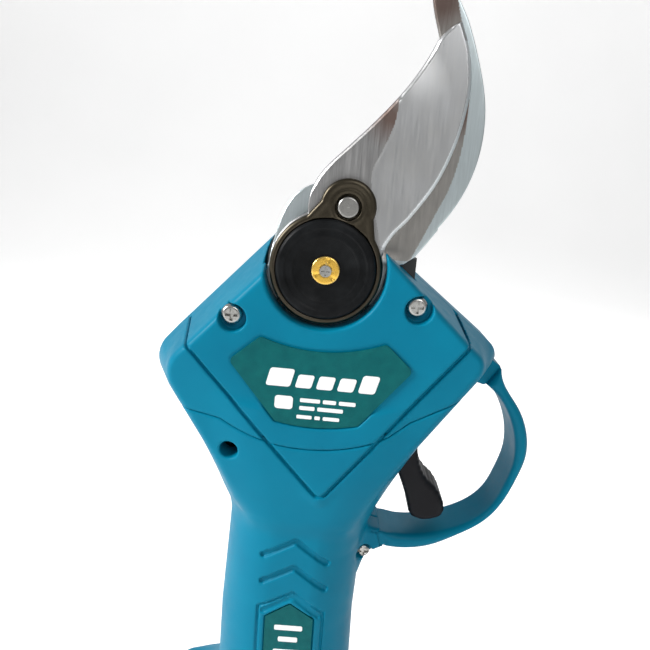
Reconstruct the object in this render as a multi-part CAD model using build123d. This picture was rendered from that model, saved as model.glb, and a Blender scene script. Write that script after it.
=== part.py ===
from build123d import *
import os
from math import acos, cos, pi, radians, sin, sqrt, tan

# Battery electric pruner, millimetres.
# +X is the trigger side, -Y the front (label) side, +Z points to the blade tips.
# The origin is on the flat underside of the battery, under the handle's axis.

os.makedirs("parts", exist_ok=True)

# ---------------------------------------------------------------- driving dimensions
pivot_x = 5.2            # blade pivot, also the drive line's axis
pivot_z = 251.0
blade_travel = 42.0      # degrees the cutting blade opens

gap = 0.05               # assembly clearance between touching pieces
run = 0.04               # radial running clearance

# shells
wall = 2.6
head_front = -25.0
shoulder_front = -22.0
head_back = 22.0
recess_radius = 16.9
collar_wall = 2.0
handle_half_depth = 21.5

# blade stack along Y, front to back
cap_front, cap_back = -23.5, -21.0
carrier_front, carrier_back = -22.5, -18.7
moving_front, moving_back = -18.6, -15.6
fixed_front, fixed_back = -15.5, -12.5
case_front, case_back = -12.4, 12.0
cap_radius = 13.8
spindle_radius = 5.0
drive_pin_x, drive_pin_z, drive_pin_radius = 10.1, 268.2, 2.9

# bevel pair, apex on the pivot axis at y = 0
bevel_module = 1.0
sector_full_teeth = 40
pinion_teeth = 10
bevel_face = 7.0

# planetary stages
gear_module = 0.6
sun_teeth, planet_teeth, ring_teeth = 12, 15, 42
ring_outer = 14.6
planet_orbit = gear_module * (sun_teeth + planet_teeth) / 2
stage_one = (152.0, 160.0)
stage_two = (166.0, 174.0)

# motor
motor_radius = 13.5
motor_low, motor_high = 104.0, 149.8

# trigger
trigger_pivot_x, trigger_pivot_z = 36.0, 202.0
trigger_half_width = 7.0
guard_half_width = 8.3

# battery
pack_left, pack_right = -50.0, 64.0
pack_half_width = 37.5
pack_split, pack_top = 27.0, 50.0
tower_half_width, tower_top = 20.5, 60.5
tower_left, tower_right = -42.0, 47.0
groove_depth, groove_low, groove_high = 3.2, 51.5, 55.5
cell_radius, cell_length = 9.2, 65.2

# foot that holds the battery
foot_left, foot_right = -46.0, 50.0
foot_half_width = 30.0
foot_low, foot_high = 50.4, 76.0
channel_half_width, channel_high = 20.9, 61.5


# ---------------------------------------------------------------- drawing helpers
def block(x0, x1, y0, y1, z0, z1):
    return Pos((x0 + x1) / 2, (y0 + y1) / 2, (z0 + z1) / 2) * Box(x1 - x0, y1 - y0, z1 - z0)


def rod_y(x, z, radius, front, back):
    return Pos(x, (front + back) / 2, z) * Rot(90, 0, 0) * Cylinder(radius, back - front)


def rod_z(x, y, radius, low, high):
    return Pos(x, y, (low + high) / 2) * Cylinder(radius, high - low)


def rod_x(y, z, radius, left, right):
    return Pos((left + right) / 2, y, z) * Rot(0, 90, 0) * Cylinder(radius, right - left)


def polygon(*points):
    return make_face(Polyline(*points, close=True))


def slab(face, front, back):
    """Extrude a face drawn in (x, z) between two depths."""
    drawing = Plane(origin=(0, back, 0), x_dir=(1, 0, 0), z_dir=(0, -1, 0))
    return extrude(drawing * face, back - front)


def disc(x, z, radius):
    return Pos(x, z) * Circle(radius)


def along_drive(face, low, high):
    """Extrude a face drawn about the drive line between two heights."""
    return extrude(Plane(origin=(pivot_x, 0, low)) * face, high - low)


def group(*solids):
    """Several separate solids kept in one node."""
    pieces = []
    for item in solids:
        pieces.extend(item.solids())
    return Compound(children=pieces)


def largest(shape):
    """The main piece left after a cut, without loose slivers."""
    return shape.solids().sort_by(SortBy.VOLUME)[-1]


def coil(radius, wire, pitch, height, location):
    """Round-wire helical spring along the location's own Z."""
    path = Helix(pitch, height, radius)
    start = Plane(origin=path @ 0, z_dir=path % 0)
    return location * sweep(start * Circle(wire), path=path)


# ---------------------------------------------------------------- gear helpers
def half_tooth_angle(radius, teeth, module, shift, thinning, internal):
    """Half of an involute tooth's angle at a radius, on a gear with a 20 degree pressure angle."""
    pressure = radians(20)
    base = module * teeth / 2 * cos(pressure)
    here = acos(min(1.0, base / radius))
    at_pitch = (pi / 2 + 2 * shift * tan(pressure)) * thinning / teeth
    change = (tan(pressure) - pressure) - (tan(here) - here)
    return at_pitch - change if internal else at_pitch + change


def gear_face(teeth, module, phase, thinning=0.93, addendum=0.8, dedendum=1.1):
    """Outline of an external spur gear with one tooth centred on the phase angle (radians)."""
    pitch_radius = module * teeth / 2
    radii = [pitch_radius + module * step for step in (-dedendum, -0.5, 0, 0.4, addendum)]
    corners = []
    for tooth in range(teeth):
        centre = phase + 2 * pi * tooth / teeth
        for side, steps in ((-1, radii), (1, radii[::-1])):
            for radius in steps:
                angle = centre + side * half_tooth_angle(radius, teeth, module, 0, thinning, False)
                corners.append((radius * cos(angle), radius * sin(angle)))
    return polygon(*corners)


def ring_face(teeth, module, phase, outer, thinning=0.93, addendum=0.8, dedendum=1.1):
    """Internal gear outline with one inward tooth centred on the phase angle (radians)."""
    pitch_radius = module * teeth / 2
    radii = [pitch_radius + module * step for step in (dedendum, 0.4, 0, -0.4, -addendum)]
    corners = []
    for tooth in range(teeth):
        centre = phase + 2 * pi * tooth / teeth
        for side, steps in ((-1, radii), (1, radii[::-1])):
            for radius in steps:
                angle = centre + side * half_tooth_angle(radius, teeth, module, 0, thinning, True)
                corners.append((radius * cos(angle), radius * sin(angle)))
    return Circle(outer) - polygon(*corners)


def bevel_tooth(teeth, mate_teeth, shift, addendum, to_teeth, to_side):
    """One straight bevel tooth whose edges all meet at the apex.

    to_teeth is the unit vector from the gear's axis to the tooth, to_side the vector along
    the axis away from the apex. The tooth is drawn on the back cone and on the inner cone.
    """
    pitch_radius = bevel_module * teeth / 2
    mate_radius = bevel_module * mate_teeth / 2
    cone = sqrt(pitch_radius ** 2 + mate_radius ** 2)
    virtual_teeth = teeth * cone / mate_radius
    virtual_radius = bevel_module * virtual_teeth / 2
    generator = (to_teeth * pitch_radius + to_side * mate_radius) / cone
    outward = (to_teeth * mate_radius - to_side * pitch_radius) / cone
    sideways = generator.cross(outward)
    profile = []
    steps = (-1.3, -0.5, 0.0, addendum / 2, addendum)
    for side, order in ((-1, steps), (1, steps[::-1])):
        for step in order:
            radius = virtual_radius + bevel_module * step
            angle = half_tooth_angle(radius, virtual_teeth, bevel_module, shift, 0.9, False)
            across = radius * sin(side * angle)
            height = radius * cos(angle) - virtual_radius
            profile.append(generator * cone + sideways * across + outward * height)
    apex = Vector(pivot_x, 0, pivot_z)
    wires = []
    for fraction in (1.0, 1.0 - bevel_face / cone):
        points = [apex + point * fraction for point in profile]
        wires.append(Wire.make_polygon(points, close=True))
    return Solid.make_loft(wires, ruled=True)


# ---------------------------------------------------------------- shells
head_points = (
    (-10.9, 257.2), (-49.3, 216.6), (-24.6, 175.5), (-20.5, 171.0), (25.5, 168.5), (63.2, 224.5),
    (20.9, 257.2)
)
head_front_points = (
    (-5.2, 256.7), (-40.8, 219.0), (-16.4, 178.4), (-11.0, 172.5), (16.9, 171.0), (54.2, 226.4), (15.0, 256.7)
)
face_points = (
    (-10.9, 257.0), (-31.5, 235.4), (-30.8, 226.5), (-26.4, 220.1), (6.9, 181.7), (47.1, 232.0),
    (45.6, 238.2), (20.9, 257.0)
)
handle_sections = (
    # height, left, right, half depth, corner radius
    (76.0, -40.0, 44.0, 28.0, 16.0),
    (96.0, -23.6, 23.6, 21.8, 17.0),
    (130.0, -22.9, 22.9, 21.5, 17.0),
    (158.0, -21.2, 23.8, 21.5, 17.0),
    (172.0, -20.4, 26.6, 21.5, 17.0),
    (194.0, -26.0, 34.0, 21.5, 17.0),
)


def head_outline(points):
    corners = polygon(*points)
    left = corners.vertices().sort_by(Axis.X)[0]
    rounded = fillet(left, 9)
    right = rounded.vertices().sort_by(Axis.X)[-1]
    return fillet(right, 5)


def head_body(inset):
    """Head that narrows towards its front, drawn inset millimetres inside its outer skin."""
    at_parting = offset(head_outline(head_points), -inset)
    at_front = offset(head_outline(head_front_points), -inset)
    faces = []
    for depth, outline in ((0, at_parting), (shoulder_front + inset, at_front)):
        faces.append(Plane(origin=(0, depth, 0), x_dir=(1, 0, 0), z_dir=(0, -1, 0)) * outline)
    return loft(faces, ruled=True) + slab(at_parting, 0, head_back - inset)


def handle_body(inset):
    """Loft of the grip, drawn inset millimetres inside its outer skin."""
    sections = []
    for height, left, right, half_depth, corner in handle_sections:
        rounded = RectangleRounded(right - left - 2 * inset, 2 * (half_depth - inset), corner - inset)
        sections.append(Plane(origin=((left + right) / 2, 0, height)) * rounded)
    lower = loft(sections[:2], ruled=True)
    upper = loft(sections[1:], ruled=True)
    return lower + upper


def stub_outline():
    """Root on the grip that the guard plugs into."""
    return polygon(
        (18.0, 144.0), (23.0, 146.6), (24.6, 149.9), (27.4, 153.2), (31.4, 155.4), (28.5, 165.7),
        (18.0, 168.0)
    )


def seam_region():
    """Everything above the curved seam between head covers and handle shells."""
    left = Line((-70, 213.8), (-22.5, 204.9))
    smile = ThreePointArc((-22.5, 204.9), (2.5, 197.9), (27.2, 203.2))
    right = Polyline((27.2, 203.2), (33.1, 208.0), (80.0, 232.4), (80, 300), (-70, 300), (-70, 213.8))
    return make_face(left + smile + right)


def shell_skin():
    head = head_body(0)
    rear_rim = head.edges().filter_by(Plane.XZ).group_by(Axis.Y)[-1]
    head = fillet(rear_rim, 5)
    front_rim = head.edges().filter_by(Plane.XZ).group_by(Axis.Y)[0]
    head = chamfer(front_rim, 1.5)
    face_pad = slab(polygon(*face_points), head_front, shoulder_front + 1)
    face_pad &= slab(offset(head_outline(head_front_points), -1.6), head_front - 1, shoulder_front + 2)
    foot = block(foot_left, foot_right, -foot_half_width, foot_half_width, foot_low, foot_high)
    foot = fillet(foot.edges().filter_by(Axis.Z), 9)
    stub = slab(stub_outline(), -guard_half_width, guard_half_width)
    return head + face_pad + handle_body(0) + foot + stub


def shell_cavity():
    head = head_body(wall)
    foot = block(foot_left + wall, foot_right - wall, 3 - foot_half_width, foot_half_width - 3,
                 channel_high + wall, foot_high - 0.5)
    throat = block(-34, 38, -20, 20, foot_high - 1, foot_high + 1)
    return head + handle_body(wall) + foot + throat


cover_screw_places = ((-20.3, 236.4), (31.4, 242.3))
shell_end = head_back - wall
foot_end = foot_half_width - 2.5
handle_screw_places = (
    # x, z, seat of the screw's head, depth of the boss
    (-19.8, 194.9, -14.0, shell_end),
    (-30.0, 70.0, -24.0, foot_end),
    (36.0, 70.0, -24.0, foot_end),
)
guard_screw_place = (24.6, 153.6)

skin = shell_skin()
shell = skin - shell_cavity()

# blade recess, its collar, and the opening for the gear case between the horns
collar = rod_y(pivot_x, pivot_z, recess_radius + collar_wall, head_front + 0.5, moving_back - 0.6)
shell += collar & skin
shell -= rod_y(pivot_x, pivot_z, recess_radius, head_front - 5, moving_back - 0.5)
shell -= rod_y(pivot_x, pivot_z, 17.8, moving_back - 0.7, 16.6)
shell -= rod_y(pivot_x, pivot_z, 8.0, 0, shell_end - 0.1)

# battery channel with its two rails
shell -= block(
    foot_left + 2, foot_right + 1, -channel_half_width, channel_half_width, foot_low - 1, channel_high)
for side in (-1, 1):
    inner = channel_half_width - 3.2
    low, high = sorted((side * inner, side * (channel_half_width + 1)))
    shell += block(foot_left + 1, foot_right - 4, low, high, groove_low + 0.4, groove_high - 0.4)

# screw bosses, each with a clearance bore in front of the parting plane and a pilot bore behind
for x, z in cover_screw_places:
    shell += (rod_y(x, z, 3.4, -20, shell_end) + rod_y(x, z, 4.7, head_front, -19.2)) & skin
    shell -= rod_y(x, z, 3.7, head_front - 5, -20.4)
    shell -= rod_y(x, z, 1.6, -21, shell_end - 2)
for x, z, seat, boss_end in handle_screw_places:
    shell += rod_y(x, z, 4.2, seat - 6, boss_end) & skin
    shell -= rod_y(x, z, 2.8, -40, seat)
    shell -= rod_y(x, z, 1.6, seat - 1, 14)

# guard pockets at both ends of the loop
guard_top_tongue = polygon((52.6, 218.1), (57.9, 214.9), (62.5, 221.3), (58.5, 224.0))
guard_low_tongue = polygon((21.8, 151.0), (27.5, 156.6), (30.2, 157.0), (28.4, 163.6), (21.8, 162.6))
guard_top_neck = polygon((57.0, 217.0), (60.4, 216.0), (62.2, 219.4), (59.0, 220.6))
guard_low_neck = polygon((29.0, 157.2), (34.0, 157.2), (34.0, 160.0), (28.0, 160.4))
tongue_half = 5.0
shell += slab(offset(guard_top_tongue, 2), -tongue_half - 2, tongue_half + 2) & skin
shell -= slab(offset(guard_top_tongue, 0.1), -tongue_half - 0.1, tongue_half + 0.1)
shell += slab(offset(guard_low_tongue, 1.5), -tongue_half - 2, tongue_half + 2) & skin
shell -= slab(offset(guard_low_tongue, 0.1), -tongue_half - 0.1, tongue_half + 0.1)
for neck in (guard_top_neck, guard_low_neck):
    shell -= slab(offset(neck, 0.1), -tongue_half - 0.1, tongue_half + 0.1)
shell -= rod_y(*guard_screw_place, 2.4, -30, -6.4)
shell -= rod_y(*guard_screw_place, 1.3, -7, 14)

# trigger slot, trigger pin bosses, and the rib that the trigger spring pushes against
shell += block(23.2, 24.9, -19.6, 19.6, 193.6, 199.4)
for side in (-1, 1):
    low, high = sorted((side * (trigger_half_width + 0.3), side * 19.6))
    shell += rod_y(trigger_pivot_x, trigger_pivot_z, 3.6, low, high) & skin
shell -= rod_y(trigger_pivot_x, trigger_pivot_z, 1.5 + run, -12, 12)
shell -= block(26.4, 43.0, -trigger_half_width - 0.6, trigger_half_width + 0.6, 174.6, 196.0)
shell -= block(30.0, 41.2, -trigger_half_width - 0.6, trigger_half_width + 0.6, 195.0, 207.4)

# decoration: label pocket, grip chevrons, grip label pocket
def label_outline(grow):
    top = ThreePointArc((-11.6, 231.4), (6.4, 228.0), (23.8, 231.6))
    right = Polyline((23.8, 231.6), (31.9, 224.2), (17.8, 206.6))
    bottom = ThreePointArc((17.8, 206.6), (7.6, 205.1), (-6.4, 206.4))
    left = Polyline((-6.4, 206.4), (-20.3, 223.9), (-11.6, 231.4))
    corners = make_face(top + right + bottom + left)
    return offset(fillet(corners.vertices(), 1.6), grow)


def grip_label_outline(grow):
    hexagon = polygon(
        (1.4, 141.0), (9.2, 135.8), (9.2, 104.0), (1.4, 98.8), (-6.4, 104.0), (-6.4, 135.8))
    return offset(hexagon, grow)


shell -= slab(label_outline(0.3), head_front - 1, head_front + 0.9)
shell -= slab(grip_label_outline(0.3), -30, 0.9 - handle_half_depth)
for peak in (164.5, 154.9):
    chevron = polygon(
        (-8.5, peak - 5.1), (2.2, peak + 1.1), (12.7, peak - 7.0), (12.7, peak - 9.4),
        (2.2, peak - 1.1), (-8.5, peak - 7.3))
    shell -= slab(chevron, -30, 0.7 - handle_half_depth)

# power button opening in the foot's front face
power_x, power_z = 3.0, 69.8
power_radius = 4.3
shell -= rod_y(power_x, power_z, power_radius + 0.15, -40, -20)

# ---------------------------------------------------------------- blades
def fixed_blade_outline():
    outer = Spline((24.0, 250.5), (30.1, 257.2), (36.4, 264.7), (42.1, 274.8), (44.8, 286.2), (44.1, 298.4),
                   (41.1, 308.1), (35.9, 319.5), (29.6, 327.0))
    tip = Line((29.6, 327.0), (27.4, 325.2))
    inner = Spline((27.4, 325.2), (28.4, 319.2), (30.9, 312.0), (33.0, 302.0), (32.4, 290.0), (28.0, 279.0),
                   (19.0, 271.5))
    hub = Spline((19.0, 271.5), (8.0, 274.4), (-3.0, 271.8), (-9.4, 260.4), (-11.2, 251.0))
    tail = Polyline((-11.2, 251.0), (-12.6, 246.0), (-12.6, 233.2), (23.0, 233.2), (24.0, 250.5))
    return make_face(outer + tip + inner + hub + tail)


def moving_blade_outline():
    back = Spline((-0.8, 265.8), (2.4, 277.0), (8.1, 283.2), (16.6, 292.0), (22.3, 298.8), (29.9, 311.8))
    crest = Spline((29.9, 311.8), (32.4, 314.6), (35.5, 316.5))
    edge = Spline((35.5, 316.5), (39.0, 307.5), (40.5, 293.5), (38.4, 282.0), (32.5, 270.0), (24.0, 260.8),
                  (20.6, 255.2))
    heel_x, heel_z = 20.6, 255.2
    hub = ThreePointArc((heel_x, heel_z), (pivot_x, pivot_z - 15.9), (pivot_x - 15.9 * cos(radians(20)),
                        pivot_z + 15.9 * sin(radians(20))))
    shoulder = ThreePointArc(hub @ 1, (pivot_x - 15.9 * cos(radians(45)), pivot_z + 15.9 * sin(radians(45))),
                             (-0.8, 265.8))
    return make_face(back + crest + edge + hub + shoulder)


def carrier_outline():
    return make_hull(disc(pivot_x, pivot_z, 15.6).edges() + disc(drive_pin_x, drive_pin_z, 7.6).edges())


spindle_hole = spindle_radius + run
bolt_places = ((-8.6, 237.2), (19.0, 237.2))

fixed_blade = slab(fixed_blade_outline(), fixed_front, fixed_back)
fixed_blade -= rod_y(pivot_x, pivot_z, spindle_hole, -20, -10)
for x, z in bolt_places:
    fixed_blade -= rod_y(x, z, 2.1, -20, -10) + rod_y(x, z, 3.2, -20, fixed_front + 1.5)
blade_slot = slab(
    polygon((-13.1, 232.7), (23.5, 232.7), (24.7, 250.0), (32.0, 257.8), (32.0, 262.0), (-11.8, 262.0),
            (-11.8, 251.0), (-13.1, 246.0)),
    fixed_front - 0.5, fixed_back + 0.5)

moving_blade = slab(moving_blade_outline(), moving_front, moving_back)
moving_blade -= rod_y(pivot_x, pivot_z, spindle_hole, -20, -10)
moving_blade -= rod_y(drive_pin_x, drive_pin_z, drive_pin_radius + 0.02, -20, -10)

blade_carrier = slab(carrier_outline(), carrier_front, carrier_back)
blade_carrier = fillet(blade_carrier.edges().filter_by(Plane.XZ).group_by(Axis.Y)[0], 0.8)
blade_carrier -= rod_y(pivot_x, pivot_z, cap_radius + 0.1, carrier_front - 1, cap_back + gap)
flats = block(pivot_x - 4.2, pivot_x + 4.2, -30, 30, pivot_z - 9, pivot_z + 9)
keyed_hole = rod_y(pivot_x, pivot_z, spindle_hole, -30, -10) & block(
    pivot_x - 4.2 - gap, pivot_x + 4.2 + gap, -30, -10, pivot_z - 9, pivot_z + 9)
blade_carrier -= keyed_hole
blade_carrier -= rod_y(drive_pin_x, drive_pin_z, drive_pin_radius + 0.02, -30, -10)

drive_pin = rod_y(drive_pin_x, drive_pin_z, drive_pin_radius, carrier_front - 0.1, moving_back - gap)
drive_pin = chamfer(drive_pin.edges().group_by(Axis.Y)[0], 0.3)

# spindle: flats at the carrier and at the drive sector, thread bore in front, nut behind
spindle = rod_y(pivot_x, pivot_z, spindle_radius, moving_front, -9.7)
spindle += rod_y(pivot_x, pivot_z, spindle_radius, cap_back + 2 * gap, moving_front) & flats
spindle += rod_y(pivot_x, pivot_z, spindle_radius, -9.7, -3.0) & flats
spindle += rod_y(pivot_x, pivot_z, 4.0, -3.0, 19.0)
spindle -= rod_y(pivot_x, pivot_z, 1.2, -30, -13)

dust_cap = rod_y(pivot_x, pivot_z, cap_radius, cap_front, cap_back)
dust_cap = chamfer(dust_cap.edges().group_by(Axis.Y)[0], 0.8)
for radius, depth in ((11.4, 0.25), (9.2, 0.5)):
    dust_cap -= rod_y(pivot_x, pivot_z, radius, cap_front - 1, cap_front + depth)
dust_cap -= rod_y(pivot_x, pivot_z, 1.25, -30, -10)
washer_back = cap_front + 0.5 - gap
brass_washer = rod_y(pivot_x, pivot_z, 3.9, washer_back - 0.8, washer_back)
brass_washer -= rod_y(pivot_x, pivot_z, 1.25, -30, -10)
screw_seat = washer_back - 0.8 - gap
cap_screw = rod_y(pivot_x, pivot_z, 1.6, screw_seat - 0.9, screw_seat)
cap_screw += rod_y(pivot_x, pivot_z, 1.15, screw_seat - 0.1, -14)
cap_screw -= block(pivot_x - 0.2, pivot_x + 0.2, -30, screw_seat - 0.4, pivot_z - 1.2, pivot_z + 1.2)
cap_screw -= block(pivot_x - 1.2, pivot_x + 1.2, -30, screw_seat - 0.4, pivot_z - 0.2, pivot_z + 0.2)

spindle_nut = slab(Pos(pivot_x, pivot_z) * RegularPolygon(6.2, 6), 15.7, 18.6)
spindle_nut -= rod_y(pivot_x, pivot_z, 4.0 + run, 10, 20)

# ---------------------------------------------------------------- bevel sector and pinion
sector_radius = bevel_module * sector_full_teeth / 2
pinion_radius = bevel_module * pinion_teeth / 2
tooth_shift = 0.4
sector_middle = radians(-90 - blade_travel / 2)


def conical_blank():
    """Sector plate turned about the pivot axis; its rear face is the root cone."""
    cone = sqrt(sector_radius ** 2 + pinion_radius ** 2)
    inner = 1 - bevel_face / cone
    root = 1.35 * bevel_module
    outer_y, inner_y = -pinion_radius - root, -pinion_radius * inner - root
    profile = Polyline((5.2, -9.6), (sector_radius + 0.2, -9.6), (sector_radius + 0.2, outer_y),
                       (sector_radius * inner, inner_y), (9.0, inner_y), (9.0, -3.1), (5.2, -3.1), close=True)
    face = Plane(origin=(pivot_x, 0, pivot_z), x_dir=(1, 0, 0), z_dir=(0, 0, 1)) * make_face(profile)
    return revolve(face, Axis((pivot_x, 0, pivot_z), (0, 1, 0)))


def sector_wedge():
    half = radians(34)
    reach = 40
    ends = []
    for angle in (sector_middle - half, sector_middle, sector_middle + half):
        ends.append((pivot_x + reach * cos(angle), pivot_z + reach * sin(angle)))
    return polygon((pivot_x, pivot_z), *ends)


drive_sector = conical_blank() & (slab(sector_wedge(), -12, 0) + rod_y(pivot_x, pivot_z, 9.0, -12, 0))
drive_sector += rod_y(pivot_x, pivot_z, 6.0, -9.6, -3.1)
# the pinion has a gap facing the sector, so one sector tooth points straight down
for tooth in range(-1, 6):
    angle = radians(-90 - tooth * 360 / sector_full_teeth)
    radial = Vector(cos(angle), 0, sin(angle))
    drive_sector += bevel_tooth(sector_full_teeth, pinion_teeth, -tooth_shift, 0.5, radial, Vector(0, -1, 0))
drive_sector -= rod_y(pivot_x, pivot_z, spindle_hole, -20, 0) & block(
    pivot_x - 4.2 - gap, pivot_x + 4.2 + gap, -20, 0, pivot_z - 9, pivot_z + 9)

pinion_cone = sqrt(sector_radius ** 2 + pinion_radius ** 2)
inner_fraction = 1 - bevel_face / pinion_cone
pinion_outer_z = pivot_z - sector_radius
pinion_inner_z = pivot_z - sector_radius * inner_fraction
core = Cone(3.95, 3.95 * inner_fraction, pinion_inner_z - pinion_outer_z)
output_shaft = Pos(pivot_x, 0, (pinion_inner_z + pinion_outer_z) / 2) * core
for tooth in range(pinion_teeth):
    angle = radians(-90 + (tooth + 0.5) * 360 / pinion_teeth)
    radial = Vector(cos(angle), sin(angle), 0)
    output_shaft += bevel_tooth(pinion_teeth, sector_full_teeth, tooth_shift, 1.1, radial, Vector(0, 0, -1))
shaft_radius = 4.0
output_shaft += rod_z(pivot_x, 0, 5.8, pinion_outer_z - 3.5, pinion_outer_z - 0.3)
output_shaft += rod_z(pivot_x, 0, shaft_radius, stage_two[1] + 3.9, pinion_outer_z - 3.4)
output_shaft += rod_z(pivot_x, 0, 3.7, pinion_outer_z - 0.4, pinion_outer_z + 0.4)

# ---------------------------------------------------------------- gear case
def case_outline(inset):
    outline = disc(pivot_x, pivot_z, 17.0 - inset)
    below = polygon((-30, 200), (40, 200), (40, 244.6 - inset), (-30, 244.6 - inset))
    lower = disc(pivot_x, pivot_z, 23.2 - inset) & below
    neck = Pos(pivot_x, 228 + inset) * Rectangle(28.4 - 2 * inset, 44)
    return outline + lower + neck


ear = polygon((14.0, 246.4), (31.2, 246.4), (31.2, 254.6), (27.0, 254.2), (14.0, 254.0))
gear_case = slab(case_outline(0), case_front, case_back)
gear_case -= slab(case_outline(1.6), case_front + 2.4, case_back + 1) - block(-60, 60, -60, 60, 150, 216)
gear_case += slab(ear, case_front, case_front + 2.3)
gear_case += rod_z(pivot_x, 0, 11.0, 184.1, 208)
gear_case -= rod_z(pivot_x, 0, 5.2, 180, 230)
gear_case -= rod_z(pivot_x, 0, 7.0 + run, 180, 193) + rod_z(pivot_x, 0, 7.0 + run, 208, 230)
gear_case -= rod_y(pivot_x, pivot_z, 7.0 + run, -14, -9)
for x, z in bolt_places:
    gear_case -= rod_y(x, z, 1.9, -14, -8)
case_room = slab(offset(case_outline(0), 0.4), case_front - 0.4, case_back + 3)
ear_slot = slab(offset(ear, 0.4), case_front - 0.6, case_front + 2.8)

case_screw_places = ((-6.4, 211.0), (16.8, 211.0), (-7.6, 258.2), (18.0, 258.2))
for x, z in case_screw_places:
    if z > pivot_z:
        gear_case += rod_y(x, z, 2.0, -10, case_back) & slab(case_outline(0.2), -12, case_back)
    gear_case -= rod_y(x, z, 0.9, 2, case_back + 1)
gear_case_cover = slab(case_outline(0), case_back + gap, case_back + 2.5)
gear_case_cover += rod_y(pivot_x, pivot_z, 7.5, case_back + 2, case_back + 3.5)
gear_case_cover -= rod_y(pivot_x, pivot_z, 6.0 + run, 10, 20)
for x, z in case_screw_places:
    gear_case_cover -= rod_y(x, z, 1.15, 10, 20)
case_screws = []
for x, z in case_screw_places:
    head_seat = case_back + 2.5 + gap
    case_screws.append(rod_y(x, z, 1.9, head_seat, head_seat + 1.3) + rod_y(x, z, 0.85, 4, head_seat))

blade_bolts = []
for x, z in bolt_places:
    seat = fixed_front + 1.5 - gap
    bolt = rod_y(x, z, 3.1, seat - 1.4, seat) + rod_y(x, z, 1.85, seat, -10.0)
    bolt -= slab(Pos(x, z) * RegularPolygon(1.5, 6), seat - 2, seat - 0.4)
    blade_bolts.append(bolt)

spindle_bushes = [
    rod_y(pivot_x, pivot_z, 7.0, -12.35, -9.95) - rod_y(pivot_x, pivot_z, spindle_hole, -14, -8),
    rod_y(pivot_x, pivot_z, 6.0, case_back + 0.1, case_back + 3.5)
    - rod_y(pivot_x, pivot_z, 4.0 + run, 10, 20),
]
shaft_bushes = []
for low, high in ((184.2, 192.9), (208.1, 215.8)):
    shaft_bushes.append(rod_z(pivot_x, 0, 7.0, low, high) - rod_z(pivot_x, 0, shaft_radius + run, 180, 230))

# ---------------------------------------------------------------- planetary gearbox
def planet_phase(orbit_angle, sun_phase):
    fraction = (orbit_angle - sun_phase) * sun_teeth / (2 * pi)
    return orbit_angle + pi - (0.5 - fraction) * 2 * pi / planet_teeth


orbit_angles = [radians(90 + 120 * index) for index in range(3)]
first_phase = planet_phase(orbit_angles[0], 0.0)
teeth_around = (first_phase - orbit_angles[0]) * planet_teeth / (2 * pi) + 0.5
ring_phase = orbit_angles[0] + teeth_around * 2 * pi / ring_teeth
ring_low, ring_high = 150.0, 184.0
ring_gear = along_drive(ring_face(ring_teeth, gear_module, ring_phase, ring_outer), ring_low + 1.5, 179.0)
ring_gear += rod_z(pivot_x, 0, ring_outer, ring_low, ring_low + 1.5) - rod_z(pivot_x, 0, 12.4, 149, 152)
ring_gear += rod_z(pivot_x, 0, ring_outer, 179.0, ring_high) - rod_z(pivot_x, 0, 11.9, 178, 190)

pin_radius = 1.2


def planets(low, high):
    wheels = []
    for orbit in orbit_angles:
        face = gear_face(planet_teeth, gear_module, planet_phase(orbit, 0.0)) - Circle(pin_radius + run)
        centre = Pos(planet_orbit * cos(orbit), planet_orbit * sin(orbit))
        wheels.append(along_drive(centre * face, low, high))
    return wheels


def carrier(low, high, pins_from):
    body = rod_z(pivot_x, 0, 11.6, low, high)
    for orbit in orbit_angles:
        x, y = pivot_x + planet_orbit * cos(orbit), planet_orbit * sin(orbit)
        body += rod_z(x, y, pin_radius, pins_from, low + 0.5)
    return body


first_carrier = carrier(stage_one[1] + 0.6, stage_one[1] + 3.0, stage_one[0] + 0.2)
first_carrier += along_drive(gear_face(sun_teeth, gear_module, 0.0), stage_one[1] + 2.9, stage_two[1] + 0.2)
output_shaft += carrier(stage_two[1] + 0.8, stage_two[1] + 4.0, stage_two[0] + 0.2)

# ---------------------------------------------------------------- motor
motor_can = rod_z(pivot_x, 0, motor_radius, motor_low + 3, motor_high)
motor_can -= rod_z(pivot_x, 0, motor_radius - 1.0, motor_low + 2, motor_high - 2)
motor_can -= rod_z(pivot_x, 0, 3.0 + run, motor_low, motor_high + 1)
motor_end_bell = rod_z(pivot_x, 0, motor_radius, motor_low, motor_low + 2.9)
motor_end_bell += rod_z(pivot_x, 0, motor_radius - 1.05, motor_low + 2.8, motor_low + 5)
motor_end_bell -= rod_z(pivot_x, 0, 3.0 + run, motor_low - 1, motor_low + 6)
motor_bearings = []
for low, high in ((motor_low + 0.2, motor_low + 4.8), (motor_high - 1.9, motor_high - 0.1)):
    motor_bearings.append(rod_z(pivot_x, 0, 3.0, low, high) - rod_z(pivot_x, 0, 1.5 + run, 90, 200))
stator = rod_z(pivot_x, 0, 12.4, 112, 143) - rod_z(pivot_x, 0, 7.6, 110, 145)
for slot in range(9):
    angle = 2 * pi * slot / 9
    stator -= rod_z(pivot_x + 9.9 * cos(angle), 9.9 * sin(angle), 1.3, 110, 145)
rotor = rod_z(pivot_x, 0, 7.2, 112, 143) + rod_z(pivot_x, 0, 1.5, motor_low - 1, stage_one[0])
rotor += along_drive(gear_face(sun_teeth, gear_module, 0.0), stage_one[0] - 0.3, stage_one[1] + 0.2)

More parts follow.
